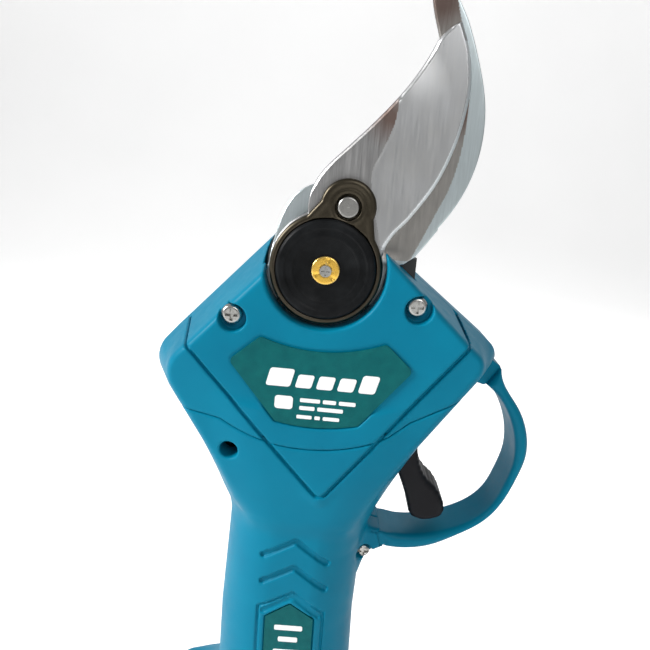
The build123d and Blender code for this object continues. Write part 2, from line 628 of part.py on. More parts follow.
# ---------------------------------------------------------------- trigger and guard
def trigger_outline():
    left = Spline((31.6, 199.6), (31.7, 188.0), (34.5, 180.5), (37.2, 173.6), (38.6, 168.4))
    toe = Spline((38.6, 168.4), (40.6, 166.4), (46.5, 166.2), (50.0, 168.2), (49.2, 174.4), (45.0, 179.6))
    right = Spline((45.0, 179.6), (41.4, 184.4), (39.6, 190.4), (39.4, 198.4), (40.2, 200.6))
    top = ThreePointArc((40.2, 200.6), (trigger_pivot_x + 1.2, trigger_pivot_z + 4.4), (31.6, 199.6))
    return make_face(left + toe + right + top)


trigger_lever = slab(trigger_outline(), -trigger_half_width, trigger_half_width)
trigger_lever -= rod_y(trigger_pivot_x, trigger_pivot_z, 1.5 + run, -12, 12)
trigger_lever -= rod_y(34.6, 190.4, 1.6, -2.5, 2.5)
trigger_magnet = rod_y(34.6, 190.4, 1.55, -2.4, 2.4)
trigger_pin = rod_y(trigger_pivot_x, trigger_pivot_z, 1.5, -11.9, 11.9)
trigger_spring = coil(1.9, 0.3, 1.25, 5.0, Location((25.3, 0, 196.4), (0, 90, 0)))

outer_guard = ((62.2, 221.4), (63.3, 217.3), (69.3, 208.7), (73.7, 198.7), (74.3, 192.3), (72.6, 184.4),
               (69.7, 176.2), (64.5, 168.1), (54.8, 161.0), (46.7, 156.8), (41.7, 155.5), (31.7, 155.4))
inner_guard = ((34.0, 160.4), (45.0, 161.0), (53.0, 163.6), (59.8, 167.2),
               (65.4, 172.9), (68.9, 181.7), (70.5, 189.0), (70.2, 195.5), (67.0, 205.3),
               (64.2, 209.9), (61.2, 213.3), (58.4, 215.6))


def guard_outline():
    outer = Spline(*outer_guard)
    root = Polyline(outer_guard[-1], (28.8, 165.6), (30.6, 161.8), inner_guard[0])
    inner = Spline(*inner_guard)
    corner = Line(inner_guard[-1], outer_guard[0])
    return make_face(outer + root + inner + corner)


trigger_guard = slab(guard_outline(), -guard_half_width, guard_half_width)
tongues = guard_top_tongue + guard_top_neck, guard_low_tongue + guard_low_neck
for tongue in tongues:
    trigger_guard += slab(tongue, -tongue_half, tongue_half)
trigger_guard -= rod_y(*guard_screw_place, 1.6, -20, 20)

# ---------------------------------------------------------------- battery contacts in the foot
terminal_block = block(-34, -12, -14, 14, 58.2, channel_high - gap)
contact_places = (-9.0, 9.0)
contact_blades = []
contact_slots = []
for y in contact_places:
    terminal_block -= block(-30 - gap, -14 + gap, y - 0.4 - gap, y + 0.4 + gap, 50, 70)
    contact_blades.append(block(-30, -14, y - 0.4, y + 0.4, 52.5, channel_high + 0.8))
    contact_slots.append(block(-30.1, -13.9, y - 0.5, y + 0.5, channel_high - 1, channel_high + 4))

# ---------------------------------------------------------------- shells cut apart
def halves(solid):
    """Front and rear halves with a hairline gap at the parting plane."""
    front = solid & block(-90, 90, -60, -gap / 2, 0, 300)
    rear = solid & block(-90, 90, gap / 2, 60, 0, 300)
    return front, rear


# openings that the blades, the case's ear and the contact blades pass through
heel_outline = polygon((14, 250), (22.2, 250), (25.2, 257.5), (25.2, 262), (14, 262))
heel_slot = slab(heel_outline, moving_front - 0.5, moving_back + 0.5)
for opening in (blade_slot, heel_slot, ear_slot, case_room, *contact_slots):
    shell -= opening
seam = seam_region()
head_shell = shell & slab(offset(seam, -gap), -60, 60)
handle_shell = shell - slab(seam, -60, 60)
head_front_cover, head_rear_cover = [largest(half) for half in halves(head_shell)]
handle_front_shell, handle_rear_shell = [largest(half) for half in halves(handle_shell)]

# ---------------------------------------------------------------- labels and screws in the shells
head_label = slab(label_outline(0), head_front + 0.2, head_front + 0.9 - gap)
handle_label = slab(grip_label_outline(0), 0.2 - handle_half_depth, 0.9 - gap - handle_half_depth)


def pan_screw(x, z, seat, tip, head_radius=3.0, shank=1.5):
    """Cross-head pan screw pointing along +Y, with its head in front of the seat."""
    head = rod_y(x, z, head_radius, seat - 2.0, seat)
    head = fillet(head.edges().group_by(Axis.Y)[0], 1.2)
    cross = block(x - 0.45, x + 0.45, seat - 3, seat - 0.7, z - 1.8, z + 1.8)
    cross += block(x - 1.8, x + 1.8, seat - 3, seat - 0.7, z - 0.45, z + 0.45)
    return head - cross + rod_y(x, z, shank, seat, tip)


cover_screws = [pan_screw(x, z, -20.4 - gap, 14.0) for x, z in cover_screw_places]
handle_screws = [pan_screw(x, z, seat - gap, 12.0, 2.6) for x, z, seat, _ in handle_screw_places]
guard_screw = pan_screw(*guard_screw_place, -6.4 - gap, 12.0, 2.2, 1.2)

# ---------------------------------------------------------------- electronics in the grip
board_x = -13.4
control_board = block(board_x, board_x + 1.6, -13, 13, 84, 146)
board_parts = [
    rod_x(-7.5, 92, 3.0, board_x - 5.4, board_x - gap),
    rod_x(0, 92, 3.0, board_x - 5.4, board_x - gap),
    rod_x(7.5, 92, 3.0, board_x - 5.4, board_x - gap),
]
for row in range(3):
    for side in (-1, 1):
        board_parts.append(block(board_x - 1.6, board_x - gap, side * 6 - 2.6, side * 6 + 2.6,
                                 104 + 11 * row, 110 + 11 * row))
board_parts.append(block(board_x - 1.3, board_x - gap, -3.5, 3.5, 136, 143))
sensor_board = block(21.6, 22.8, -4, 4, 184.5, 195.0)


def wire_run(points, radius=0.9):
    path = Spline(*points)
    start = Plane(origin=path @ 0, z_dir=path % 0)
    return sweep(start * Circle(radius), path=path)


battery_wires = [
    wire_run(((-20, y, 66.8), (-19.4, y * 0.9, 73), (-17.4, y * 0.6, 80), (board_x - 1.6, y * 0.5, 88.0)))
    for y in (-9, 9)
]
motor_wires = [
    wire_run(
        ((pivot_x + x, y, motor_low - 0.3), (pivot_x + x - 1, y, 98), (-6, y, 94), (board_x + 2.8, y, 93)),
        0.8)
    for x, y in ((-6.5, -5), (-7.5, 0), (-6.5, 5))
]

# power button in the foot, with its switch behind
power_button = rod_y(power_x, power_z, power_radius, -32.2, -24.6)
power_button = fillet(power_button.edges().group_by(Axis.Y)[0], 0.8)
power_button += rod_y(power_x, power_z, power_radius + 1.1, -26.8, -24.4)
power_switch = block(power_x - 6.5, power_x + 6.5, -21.2, -14, power_z - 5.0, power_z + 5.0)

# ---------------------------------------------------------------- battery pack
def pack_block(low, high):
    body = block(pack_left, pack_right, -pack_half_width, pack_half_width, low, high)
    return fillet(body.edges().filter_by(Axis.Z), 10)


pack_skin = pack_block(0, pack_top)
pack_skin = fillet(pack_skin.edges().group_by(Axis.Z)[-1], 4)
pack_skin = chamfer(pack_skin.edges().group_by(Axis.Z)[0], 1.5)
pack_room = block(pack_left + 2.4, pack_right - 2.4, 2.4 - pack_half_width, pack_half_width - 2.4, 2.4, 47.2)
pack_room = fillet(pack_room.edges().filter_by(Axis.Z), 7.6)
tower = block(tower_left, tower_right, -tower_half_width, tower_half_width, pack_top - 1, tower_top)
for side in (-1, 1):
    low, high = sorted((side * (tower_half_width - groove_depth), side * (tower_half_width + 1)))
    tower -= block(tower_left - 1, tower_right + 1, low, high, groove_low, groove_high)
for y in contact_places:
    tower -= block(tower_left - 1, -10, y - 1.5, y + 1.5, pack_top + 1.2, tower_top + 1)
tower -= block(tower_left - 1, -6, -14.5, 14.5, 57.6, tower_top + 1)
pack_shell = pack_skin - pack_room + tower
battery_lower_case = pack_shell & block(-90, 90, -60, 60, -1, pack_split)
battery_upper_case = pack_shell & block(-90, 90, -60, 60, pack_split + gap, 80)

cell_columns = [-33.2 + 19 * column for column in range(5)]
cell_rows = (12.0, 32.6)
battery_cells = []
cell_holder = block(-44.5, 53.5, -26, -19, 2.6, 43.0) + block(-44.5, 53.5, 19, 26, 2.6, 43.0)
for z in cell_rows:
    for x in cell_columns:
        battery_cells.append(rod_y(x, z, cell_radius, -cell_length / 2, cell_length / 2))
        cell_holder -= rod_y(x, z, cell_radius + gap, -40, 40)
battery_board = block(-40, 44, -18, 18, 44.4, 46.0)

button_opening = block(54.2, 70, -13.3, 13.3, 32.0, 44.3)
battery_upper_case -= button_opening
release_button = block(58.4, 66.2, -13, 13, 35.6, 44.0)
release_button = fillet(release_button.edges().filter_by(Axis.Y).sort_by(Axis.X)[-2:], 2)
release_button += block(54.6, 58.8, -12, 12, 34.8, 43.8)
release_spring = coil(2.0, 0.3, 1.3, 4.8, Location((56.4, 0, 29.4)))
spring_seat = block(53.0, 60.0, -4, 4, 27.6, 28.8)
battery_upper_case += spring_seat + block(59.8, 62.5, -4, 4, 27.4, 28.8)

battery_label = slab(Pos(7, 26) * SlotOverall(62, 24), -pack_half_width - 0.3, -pack_half_width + 0.4)
battery_label_pocket = slab(
    Pos(7, 26) * SlotOverall(62.4, 24.4), -pack_half_width - 1, 0.45 - pack_half_width)
battery_lower_case -= battery_label_pocket
battery_upper_case -= battery_label_pocket
case_bolt_places = ((-45.2, -29.8), (-45.2, 29.8), (57.5, -29.8), (57.5, 29.8))
pack_screws = []
for x, y in case_bolt_places:
    battery_lower_case += rod_z(x, y, 2.6, 2, pack_split) & pack_skin
    battery_upper_case += rod_z(x, y, 2.6, pack_split + gap, 48) & pack_skin
    battery_lower_case -= rod_z(x, y, 2.0, -1, 4.0) + rod_z(x, y, 1.25, 3, pack_split + 1)
    battery_upper_case -= rod_z(x, y, 1.1, pack_split - 1, 40)
    pack_screws.append(rod_z(x, y, 1.9, 2.2, 4.0 - gap) + rod_z(x, y, 1.05, 3.9, 38))

# ---------------------------------------------------------------- write one STEP per piece
first_planets = planets(*stage_one)
second_planets = planets(*stage_two)
parts = {
    "head_front_cover": head_front_cover,
    "head_rear_cover": head_rear_cover,
    "handle_front_shell": handle_front_shell,
    "handle_rear_shell": handle_rear_shell,
    "trigger_guard": trigger_guard,
    "head_label": head_label,
    "handle_label": handle_label,
    "cover_screws": group(*cover_screws),
    "handle_screws": group(*handle_screws, guard_screw),
    "gear_case": gear_case,
    "gear_case_cover": gear_case_cover,
    "gear_case_screws": group(*case_screws),
    "fixed_blade": fixed_blade,
    "fixed_blade_bolts": group(*blade_bolts),
    "moving_blade": moving_blade,
    "blade_carrier": blade_carrier,
    "drive_pin": drive_pin,
    "spindle": spindle,
    "spindle_bushes": group(*spindle_bushes),
    "spindle_nut": spindle_nut,
    "dust_cap": dust_cap,
    "brass_washer": brass_washer,
    "cap_screw": cap_screw,
    "drive_sector": drive_sector,
    "output_shaft": output_shaft,
    "shaft_bushes": group(*shaft_bushes, *motor_bearings),
    "ring_gear": ring_gear,
    "first_stage_carrier": first_carrier,
    "motor_can": motor_can,
    "motor_end_bell": motor_end_bell,
    "motor_stator": stator,
    "motor_rotor": rotor,
    "motor_wires": group(*motor_wires),
    "control_board": control_board,
    "board_components": group(*board_parts),
    "trigger_lever": trigger_lever,
    "trigger_pin": trigger_pin,
    "trigger_magnet": trigger_magnet,
    "trigger_spring": trigger_spring,
    "trigger_sensor_board": sensor_board,
    "power_button": power_button,
    "power_switch": power_switch,
    "terminal_block": terminal_block,
    "contact_blades": group(*contact_blades),
    "battery_wires": group(*battery_wires),
    "battery_lower_case": battery_lower_case,
    "battery_upper_case": battery_upper_case,
    "battery_screws": group(*pack_screws),
    "battery_cells": group(*battery_cells),
    "cell_holder": cell_holder,
    "battery_board": battery_board,
    "battery_label": battery_label,
    "release_button": release_button,
    "release_spring": release_spring,
}
for stage, wheels in (("first", first_planets), ("second", second_planets)):
    for number, wheel in enumerate(wheels, start=1):
        parts[f"{stage}_stage_planet_{number}"] = wheel
for name, shape in parts.items():
    export_step(shape, f"parts/{name}.step")
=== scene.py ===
from math import cos, pi, radians, sin

import bpy
import numpy as np
from mathutils import Matrix, Vector


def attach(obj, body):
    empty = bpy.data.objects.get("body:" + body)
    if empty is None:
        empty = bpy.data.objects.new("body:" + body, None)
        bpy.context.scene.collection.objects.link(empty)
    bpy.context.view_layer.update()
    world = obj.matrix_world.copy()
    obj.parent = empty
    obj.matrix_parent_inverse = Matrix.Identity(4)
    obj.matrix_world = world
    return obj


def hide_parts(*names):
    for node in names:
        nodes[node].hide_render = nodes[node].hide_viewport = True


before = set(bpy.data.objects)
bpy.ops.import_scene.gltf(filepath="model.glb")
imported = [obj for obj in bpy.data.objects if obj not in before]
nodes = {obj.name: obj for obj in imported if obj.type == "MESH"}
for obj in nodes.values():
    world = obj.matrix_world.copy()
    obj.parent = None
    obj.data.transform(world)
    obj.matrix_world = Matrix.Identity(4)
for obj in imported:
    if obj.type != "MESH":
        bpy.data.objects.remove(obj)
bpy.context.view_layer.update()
MM = 0.001
PIVOT_X, PIVOT_Z = 5.2, 251.0
PIN_X, PIN_Z = 10.1, 268.2
LEVER_X, LEVER_Z = 36, 202
COARSE = 1.0


# ------------------------------------------------------------------ node materials
class Nodes:
    """One procedural material, built node by node."""

    def __init__(self, name):
        self.material = bpy.data.materials.new(name)
        self.material.use_nodes = True
        self.tree = self.material.node_tree
        self.shader = self.tree.nodes["Principled BSDF"]
        self.place = self.add("ShaderNodeTexCoord").outputs["Object"]
        self.normal = None

    def add(self, kind, **settings):
        node = self.tree.nodes.new(kind)
        for key, value in settings.items():
            setattr(node, key, value)
        return node

    def link(self, source, target):
        self.tree.links.new(source, target)

    def noise(self, size, detail=3.0, stretch=(1, 1, 1), turn=0.0, rough=0.55):
        """Noise whose features are about size millimetres across."""
        mapping = self.add("ShaderNodeMapping")
        mapping.inputs["Scale"].default_value = stretch
        mapping.inputs["Rotation"].default_value = (0, turn, 0)
        noise = self.add("ShaderNodeTexNoise")
        noise.inputs["Scale"].default_value = 1 / (size * MM)
        noise.inputs["Detail"].default_value = detail
        noise.inputs["Roughness"].default_value = rough
        self.link(self.place, mapping.inputs["Vector"])
        self.link(mapping.outputs[0], noise.inputs["Vector"])
        return noise.outputs["Fac"]

    def ramp(self, value, low, high):
        """0 where value is low, 1 where it is high."""
        node = self.add("ShaderNodeMapRange")
        node.inputs["From Min"].default_value = low
        node.inputs["From Max"].default_value = high
        self.link(value, node.inputs["Value"])
        return node.outputs["Result"]

    def level(self, value, low, high, target):
        """Feeds target with a number between low and high that follows a noise."""
        node = self.add("ShaderNodeMapRange")
        node.inputs["From Min"].default_value = 0.25
        node.inputs["From Max"].default_value = 0.75
        node.inputs["To Min"].default_value = low
        node.inputs["To Max"].default_value = high
        self.link(value, node.inputs["Value"])
        self.link(node.outputs["Result"], target)

    def mix(self, factor, first, second):
        node = self.add("ShaderNodeMix", data_type="RGBA")
        for value, slot in ((factor, 0), (first, 6), (second, 7)):
            if hasattr(value, "is_linked"):
                self.link(value, node.inputs[slot])
            elif slot:
                node.inputs[slot].default_value = (*value, 1)
            else:
                node.inputs[slot].default_value = value
        return node.outputs[2]

    def edges(self):
        """1 on convex edges, 0 elsewhere."""
        geometry = self.add("ShaderNodeNewGeometry")
        return self.ramp(geometry.outputs["Pointiness"], 0.52, 0.6)

    def bump(self, value, height):
        """Adds relief of a height in millimetres to the normal."""
        node = self.add("ShaderNodeBump")
        node.inputs["Distance"].default_value = height * MM
        self.link(value, node.inputs["Height"])
        if self.normal is not None:
            self.link(self.normal, node.inputs["Normal"])
        self.normal = node.outputs["Normal"]

    def done(self, colour, **settings):
        """Links up the shader; settings are its other inputs, with _ for a space."""
        if hasattr(colour, "is_linked"):
            self.link(colour, self.shader.inputs["Base Color"])
        else:
            self.shader.inputs["Base Color"].default_value = (*colour, 1)
        for key, value in settings.items():
            self.shader.inputs[key.replace("_", " ")].default_value = value
        if self.normal is not None:
            self.link(self.normal, self.shader.inputs["Normal"])
        return self.material


def moulded(name, colour, tint, roughness, grain=0.35, grain_height=0.012, edge_highlight_and_wear=None):
    """Moulded plastic: slight cloudiness, fine spark-eroded grain, and paler edges that are a painted edge highlight
    together with edge wear.
    """
    m = Nodes(name)
    cloud = m.ramp(m.noise(14, 2), 0.3, 0.7)
    shade = m.mix(cloud, colour, tint)
    fine = m.noise(grain, 4)
    # paler convex edges: painted edge highlight together with edge wear
    if edge_highlight_and_wear:
        shade = m.mix(m.edges(), shade, edge_highlight_and_wear)
    m.level(m.noise(3.0, 4), roughness - 0.05, roughness + 0.07, m.shader.inputs["Roughness"])
    m.bump(fine, grain_height)
    m.bump(m.noise(9, 2), 0.03)
    return m.done(shade, Specular_IOR_Level=0.15)


def metal(name, colour, tint, roughness, stretch=(1, 1, 1), size=0.5, height=0.008, edge_highlight_and_wear=None):
    """Metal with a machined or ground finish: lay lines when stretched, and small patches of a darker tint, which are
    stains and, on the chromed screws, painted dark reflections.
    """
    m = Nodes(name)
    lay = m.noise(size, 6, stretch, rough=0.7)
    stain_and_dark_reflection = m.ramp(m.noise(7, 3), 0.35, 0.7)
    shade = m.mix(stain_and_dark_reflection, colour, tint)
    shade = m.mix(m.ramp(lay, 0.3, 0.7), shade, tuple(min(1.0, c * 1.12) for c in colour))
    # paler convex edges: painted edge highlight together with edge wear
    if edge_highlight_and_wear:
        shade = m.mix(m.edges(), shade, edge_highlight_and_wear)
    m.level(lay, roughness - 0.06, roughness + 0.1, m.shader.inputs["Roughness"])
    m.bump(lay, height)
    return m.done(shade, Metallic=1.0)


def teal(name, base=(0.000, 0.162, 0.268), tint=(0.000, 0.184, 0.296)):
    """The tool's own plastic: satin, with a fine grain over a slight orange peel."""
    m = Nodes(name)
    shade = m.mix(m.ramp(m.noise(18, 2), 0.3, 0.7), base, tint)
    m.level(m.noise(4, 4), 0.34, 0.46, m.shader.inputs["Roughness"])
    m.bump(m.noise(0.22, 3), 0.010)
    m.bump(m.noise(1.6, 3), 0.014)
    return m.done(shade, Specular_IOR_Level=0.10)


def label_ink():
    """Printed film: dark teal with a fine silver fleck."""
    m = Nodes("label_ink")
    fleck = m.ramp(m.noise(0.16, 2), 0.60, 0.72)
    cloud = m.ramp(m.noise(3.0, 4), 0.3, 0.7)
    base = m.mix(cloud, (0.000, 0.088, 0.095), (0.002, 0.115, 0.118))
    shade = m.mix(fleck, base, (0.01, 0.19, 0.19))
    m.level(m.noise(1.0, 3), 0.30, 0.42, m.shader.inputs["Roughness"])
    m.bump(m.noise(0.16, 2), 0.012)
    return m.done(shade, Specular_IOR_Level=0.12)


def white_ink():
    """Screen-printed white."""
    m = Nodes("white_ink")
    shade = m.mix(m.ramp(m.noise(0.5, 3), 0.35, 0.65), (0.84, 0.87, 0.87), (0.93, 0.94, 0.93))
    m.bump(m.noise(0.3, 3), 0.01)
    return m.done(shade, Roughness=0.5)


def ground_steel(name, colour, tint, turn, contrast=1.0, brown=()):
    """Blade steel: grinding lines along one direction, faint stains, and brown gleams round some spots."""
    m = Nodes(name)
    lay = m.noise(0.5, 5, (1, 1, 0.035), turn, 0.7)
    broad = m.ramp(m.noise(13, 3), 0.3, 0.7)
    shade = m.mix(broad, colour, tint)
    streak = m.mix(m.ramp(lay, 0.32, 0.68), tuple(c * (1 - 0.22 * contrast) for c in colour), shade)
    for spot in brown:
        away = m.add("ShaderNodeVectorMath", operation="DISTANCE")
        m.link(m.place, away.inputs[0])
        away.inputs[1].default_value = tuple(c * MM for c in spot)
        ragged = m.add("ShaderNodeMath", operation="MULTIPLY_ADD")
        m.link(lay, ragged.inputs[0])
        ragged.inputs[1].default_value = 5 * MM
        m.link(away.outputs["Value"], ragged.inputs[2])
        streak = m.mix(m.ramp(ragged.outputs[0], 11 * MM, 4 * MM), streak, (0.22, 0.16, 0.14))
    m.level(lay, 0.27, 0.40, m.shader.inputs["Roughness"])
    m.bump(lay, 0.006 * contrast)
    return m.done(streak, Metallic=1.0)


def turned_black():
    """Black anodised cap with fine turning rings round the pivot."""
    m = Nodes("turned_black")
    move = m.add("ShaderNodeMapping")
    move.inputs["Location"].default_value = (-PIVOT_X * MM, 0, -PIVOT_Z * MM)
    move.inputs["Scale"].default_value = (1, 0, 1)
    m.link(m.place, move.inputs["Vector"])
    length = m.add("ShaderNodeVectorMath", operation="LENGTH")
    m.link(move.outputs[0], length.inputs[0])
    wave = m.add("ShaderNodeMath", operation="SINE")
    scaled = m.add("ShaderNodeMath", operation="MULTIPLY")
    scaled.inputs[1].default_value = 2 * pi / (0.36 * MM)
    m.link(length.outputs["Value"], scaled.inputs[0])
    m.link(scaled.outputs[0], wave.inputs[0])
    m.bump(wave.outputs[0], 0.010)
    m.bump(m.noise(0.5, 4), 0.004)
    shade = m.mix(m.ramp(m.noise(5, 4), 0.35, 0.7), (0.003, 0.0035, 0.004), (0.009, 0.010, 0.011))
    m.level(m.noise(2, 3), 0.30, 0.42, m.shader.inputs["Roughness"])
    return m.done(shade, Specular_IOR_Level=0.12)


MATERIALS = {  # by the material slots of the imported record
    "teal_shell": teal("teal_plastic"),
    "teal_guard": teal("teal_guard_plastic", (0.000, 0.158, 0.258), (0.000, 0.178, 0.283)),
    "label_film": label_ink(),
    # chromed screw: its dark-tinted patches are painted dark reflections along with stains
    "screw_chrome": metal("chromed_screw", (0.50, 0.50, 0.48), (0.22, 0.21, 0.19), 0.22, size=0.5, height=0.012),
    "black_aluminium": moulded("black_anodised", (0.010, 0.010, 0.011), (0.016, 0.016, 0.017), 0.42, 0.3, 0.01,
                               (0.06, 0.06, 0.06)),
    "blade_steel": ground_steel("blade_steel", (0.33, 0.335, 0.34), (0.27, 0.265, 0.26), radians(-20)),
    "bronze_carrier": metal("bronze_finish", (0.062, 0.053, 0.038), (0.040, 0.034, 0.024), 0.32, size=0.3,
                            edge_highlight_and_wear=(0.22, 0.19, 0.15)),
    "bearing_steel": metal("bearing_steel", (0.36, 0.355, 0.34), (0.33, 0.325, 0.31), 0.3, size=0.25, height=0.0008),
    "bush_bronze": metal("bush_bronze", (0.55, 0.38, 0.18), (0.45, 0.30, 0.14), 0.35),
    "cap_black": turned_black(),
    "brass": metal("brass", (0.92, 0.56, 0.10), (0.74, 0.42, 0.06), 0.26, size=0.3, height=0.010,
                   edge_highlight_and_wear=(1.0, 0.80, 0.36)),
    "motor_steel": metal("motor_steel", (0.46, 0.47, 0.48), (0.36, 0.37, 0.38), 0.3, (1, 1, 6)),
    "stator_iron": metal("stator_laminations", (0.30, 0.30, 0.31), (0.22, 0.22, 0.23), 0.45, (1, 1, 14)),
    "wire_red": moulded("wire_insulation", (0.42, 0.015, 0.012), (0.35, 0.01, 0.01), 0.4),
    "board_green": moulded("solder_mask", (0.008, 0.10, 0.03), (0.006, 0.13, 0.035), 0.35, 0.9, 0.02),
    "component_black": moulded("component_epoxy", (0.02, 0.02, 0.02), (0.03, 0.03, 0.03), 0.5),
    "trigger_black": moulded("trigger_plastic", (0.007, 0.007, 0.009), (0.011, 0.011, 0.013), 0.45, 0.3, 0.02,
                             (0.04, 0.042, 0.046)),
    "magnet": metal("nickel_magnet", (0.55, 0.54, 0.52), (0.48, 0.47, 0.45), 0.2),
    "spring_steel": metal("spring_steel", (0.45, 0.45, 0.45), (0.36, 0.35, 0.34), 0.3, (1, 8, 1)),
    "battery_black": moulded("battery_plastic", (0.014, 0.015, 0.016), (0.020, 0.021, 0.023), 0.5, 0.4, 0.03,
                             (0.05, 0.052, 0.055)),
    "cell_sleeve": moulded("cell_sleeve", (0.02, 0.22, 0.30), (0.02, 0.18, 0.25), 0.35),
    "copper": metal("copper_blade", (0.80, 0.40, 0.22), (0.66, 0.30, 0.15), 0.28),
}
TEAL_TRIM = teal("teal_trim", (0.002, 0.30, 0.36), (0.004, 0.34, 0.40))
WHITE_INK = white_ink()
MOVING_STEEL = ground_steel("moving_blade_steel", (0.52, 0.52, 0.52), (0.45, 0.445, 0.44), radians(-10), 1.7,
                            ((19.6, -18.4, 292.0),))
MOVING_GROUND = ground_steel("moving_blade_ground", (0.56, 0.57, 0.58), (0.50, 0.50, 0.49), radians(62), 0.5)
# near-white bluish steel on the cutting edge's bevel: a painted highlight and reflection over the real bevel
EDGE_HIGHLIGHT_STEEL = ground_steel("moving_blade_edge_highlight", (0.90, 0.95, 0.97), (0.84, 0.88, 0.90), radians(62), 0.3)
# paler bluish steel of the fixed blade: a painted reflection matching the lit outer rim band; the grey-brown steel on
# the next line is the face inside the rim
FIXED_REFLECTION_STEEL = ground_steel("fixed_blade_reflection_steel", (0.62, 0.70, 0.72), (0.55, 0.61, 0.63), radians(-20), 0.8)
FIXED_GROUND = ground_steel("fixed_blade_ground", (0.47, 0.455, 0.43), (0.40, 0.38, 0.355), radians(-20), 0.9,
                            ((39.3, -15.0, 295.0), (30.0, -15.0, 321.0), (32.0, -15.0, 326.0)))


def record_slot(node):
    """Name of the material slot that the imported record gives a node."""
    material = nodes[node].data.materials[0]
    return material.name.split(".")[0]


# ------------------------------------------------------------------ fields on a grid
class Grid:
    """Sample points of a box in millimetres; x, y and z broadcast against each other."""

    def __init__(self, low, high, step):
        self.step = step * COARSE
        self.low = np.array(low, float) - 2 * self.step
        axes = [np.arange(a, b + 3 * self.step, self.step) for a, b in zip(self.low, high)]
        self.along_x, self.along_z = axes[0], axes[2]
        self.x = axes[0][:, None, None]
        self.y = axes[1][None, :, None]
        self.z = axes[2][None, None, :]
        self.shape = tuple(len(a) for a in axes)

    def outline(self, points):
        """Signed distance to a closed (x, z) outline, negative inside."""
        px, pz = np.meshgrid(self.along_x, self.along_z, indexing="ij")
        best = np.full(px.shape, 1e9)
        inside = np.zeros(px.shape, bool)
        for (ax, az), (bx, bz) in zip(points, points[1:] + points[:1]):
            ex, ez = bx - ax, bz - az
            wx, wz = px - ax, pz - az
            t = np.clip((wx * ex + wz * ez) / (ex * ex + ez * ez), 0, 1)
            best = np.minimum(best, (wx - ex * t) ** 2 + (wz - ez * t) ** 2)
            if ez:
                inside ^= ((az <= pz) != (bz <= pz)) & (px < ax + (pz - az) / ez * ex)
        return (np.where(inside, -1, 1) * np.sqrt(best))[:, None, :]

    def rod(self, x, z, radius):
        """Endless cylinder along y."""
        return np.hypot(self.x - x, self.z - z) - radius

    def layer(self, front, back):
        return np.maximum(front - self.y, self.y - back)

    def slab(self, flat, front, back, edge=0.0):
        """Outline field given a thickness, with rounded rims of radius edge."""
        return round_max(flat, self.layer(front, back), edge)

    def block(self, low, high, edge=0.0):
        """Box between two corners, with edges of radius edge."""
        q = [np.maximum(a - v, v - b) + edge for v, a, b in zip((self.x, self.y, self.z), low, high)]
        outside = np.sqrt(sum(np.maximum(v, 0) ** 2 for v in q))
        return outside + np.minimum(np.maximum(np.maximum(q[0], q[1]), q[2]), 0) - edge


def round_max(a, b, radius):
    """Both fields together, with a rounded edge where they meet."""
    if not np.any(radius):
        return np.maximum(a, b)
    u, v = a + radius, b + radius
    return np.hypot(np.maximum(u, 0), np.maximum(v, 0)) + np.minimum(np.maximum(u, v), 0) - radius


def soft_max(a, b, k):
    """Both fields together, blended where they come within k of each other."""
    h = np.maximum(k - np.abs(a - b), 0) / k
    return np.maximum(a, b) + h * h * k / 4


def soft_min(a, b, k):
    """Either field, blended where they come within k of each other."""
    return -soft_max(-a, -b, k)


def step_up(t):
    """Smooth step from 0 at t = 0 to 1 at t = 1."""
    t = np.clip(t, 0, 1)
    return t * t * (3 - 2 * t)


def surface_net(grid, field):
    """Vertices in millimetres and quads of the zero surface of a field."""
    field = np.broadcast_to(field, grid.shape)
    inside = field < 0
    count = np.zeros([n - 1 for n in grid.shape], np.int8)
    for i in (0, 1):
        for j in (0, 1):
            for k in (0, 1):
                count += inside[i:grid.shape[0] - 1 + i, j:grid.shape[1] - 1 + j, k:grid.shape[2] - 1 + k]
    mixed = (count > 0) & (count < 8)
    cells = np.argwhere(mixed)
    ids = np.full(mixed.shape, -1, np.int64)
    ids[mixed] = np.arange(len(cells))
    total = np.zeros((len(cells), 3))
    hits = np.zeros(len(cells))
    quads = []
    for axis in range(3):
        u, v = (axis + 1) % 3, (axis + 2) % 3
        for du in (0, 1):
            for dv in (0, 1):
                start = cells.copy()
                start[:, u] += du
                start[:, v] += dv
                end = start.copy()
                end[:, axis] += 1
                first, last = field[tuple(start.T)], field[tuple(end.T)]
                cross = (first < 0) != (last < 0)
                t = np.where(cross, first / np.where(cross, first - last, 1), 0)
                point = start.astype(float)
                point[:, axis] += t
                total += np.where(cross[:, None], point, 0)
                hits += cross
        here = [slice(None)] * 3
        there = [slice(None)] * 3
        here[axis], there[axis] = slice(0, -1), slice(1, None)
        begins = inside[tuple(here)]
        edges = np.argwhere(begins != inside[tuple(there)])
        keep = np.ones(len(edges), bool)
        for side in (u, v):
            keep &= (edges[:, side] > 0) & (edges[:, side] < grid.shape[side] - 1)
        edges = edges[keep]
        back_u, back_v = np.eye(3, dtype=int)[u], np.eye(3, dtype=int)[v]
        ring = np.stack([ids[tuple((edges - shift).T)] for shift in (0 * back_u, back_u, back_u + back_v, back_v)], 1)
        flip = ~begins[tuple(edges.T)]
        ring[flip] = ring[flip][:, ::-1]
        quads.append(ring)
    return total / hits[:, None] * grid.step + grid.low, np.concatenate(quads)


def main_islands(points, quads, smallest=400):
    """Drops islands of fewer than smallest vertices."""
    label = np.arange(len(points))
    while True:
        low = label[quads].min(1)
        fresh = label.copy()
        for corner in range(4):
            np.minimum.at(fresh, quads[:, corner], low)
        fresh = fresh[fresh]
        if (fresh == label).all():
            break
        label = fresh
    size = np.bincount(label, minlength=len(points))
    keep = size[label] >= smallest
    new = np.cumsum(keep) - 1
    return points[keep], new[quads[keep[quads[:, 0]]]]


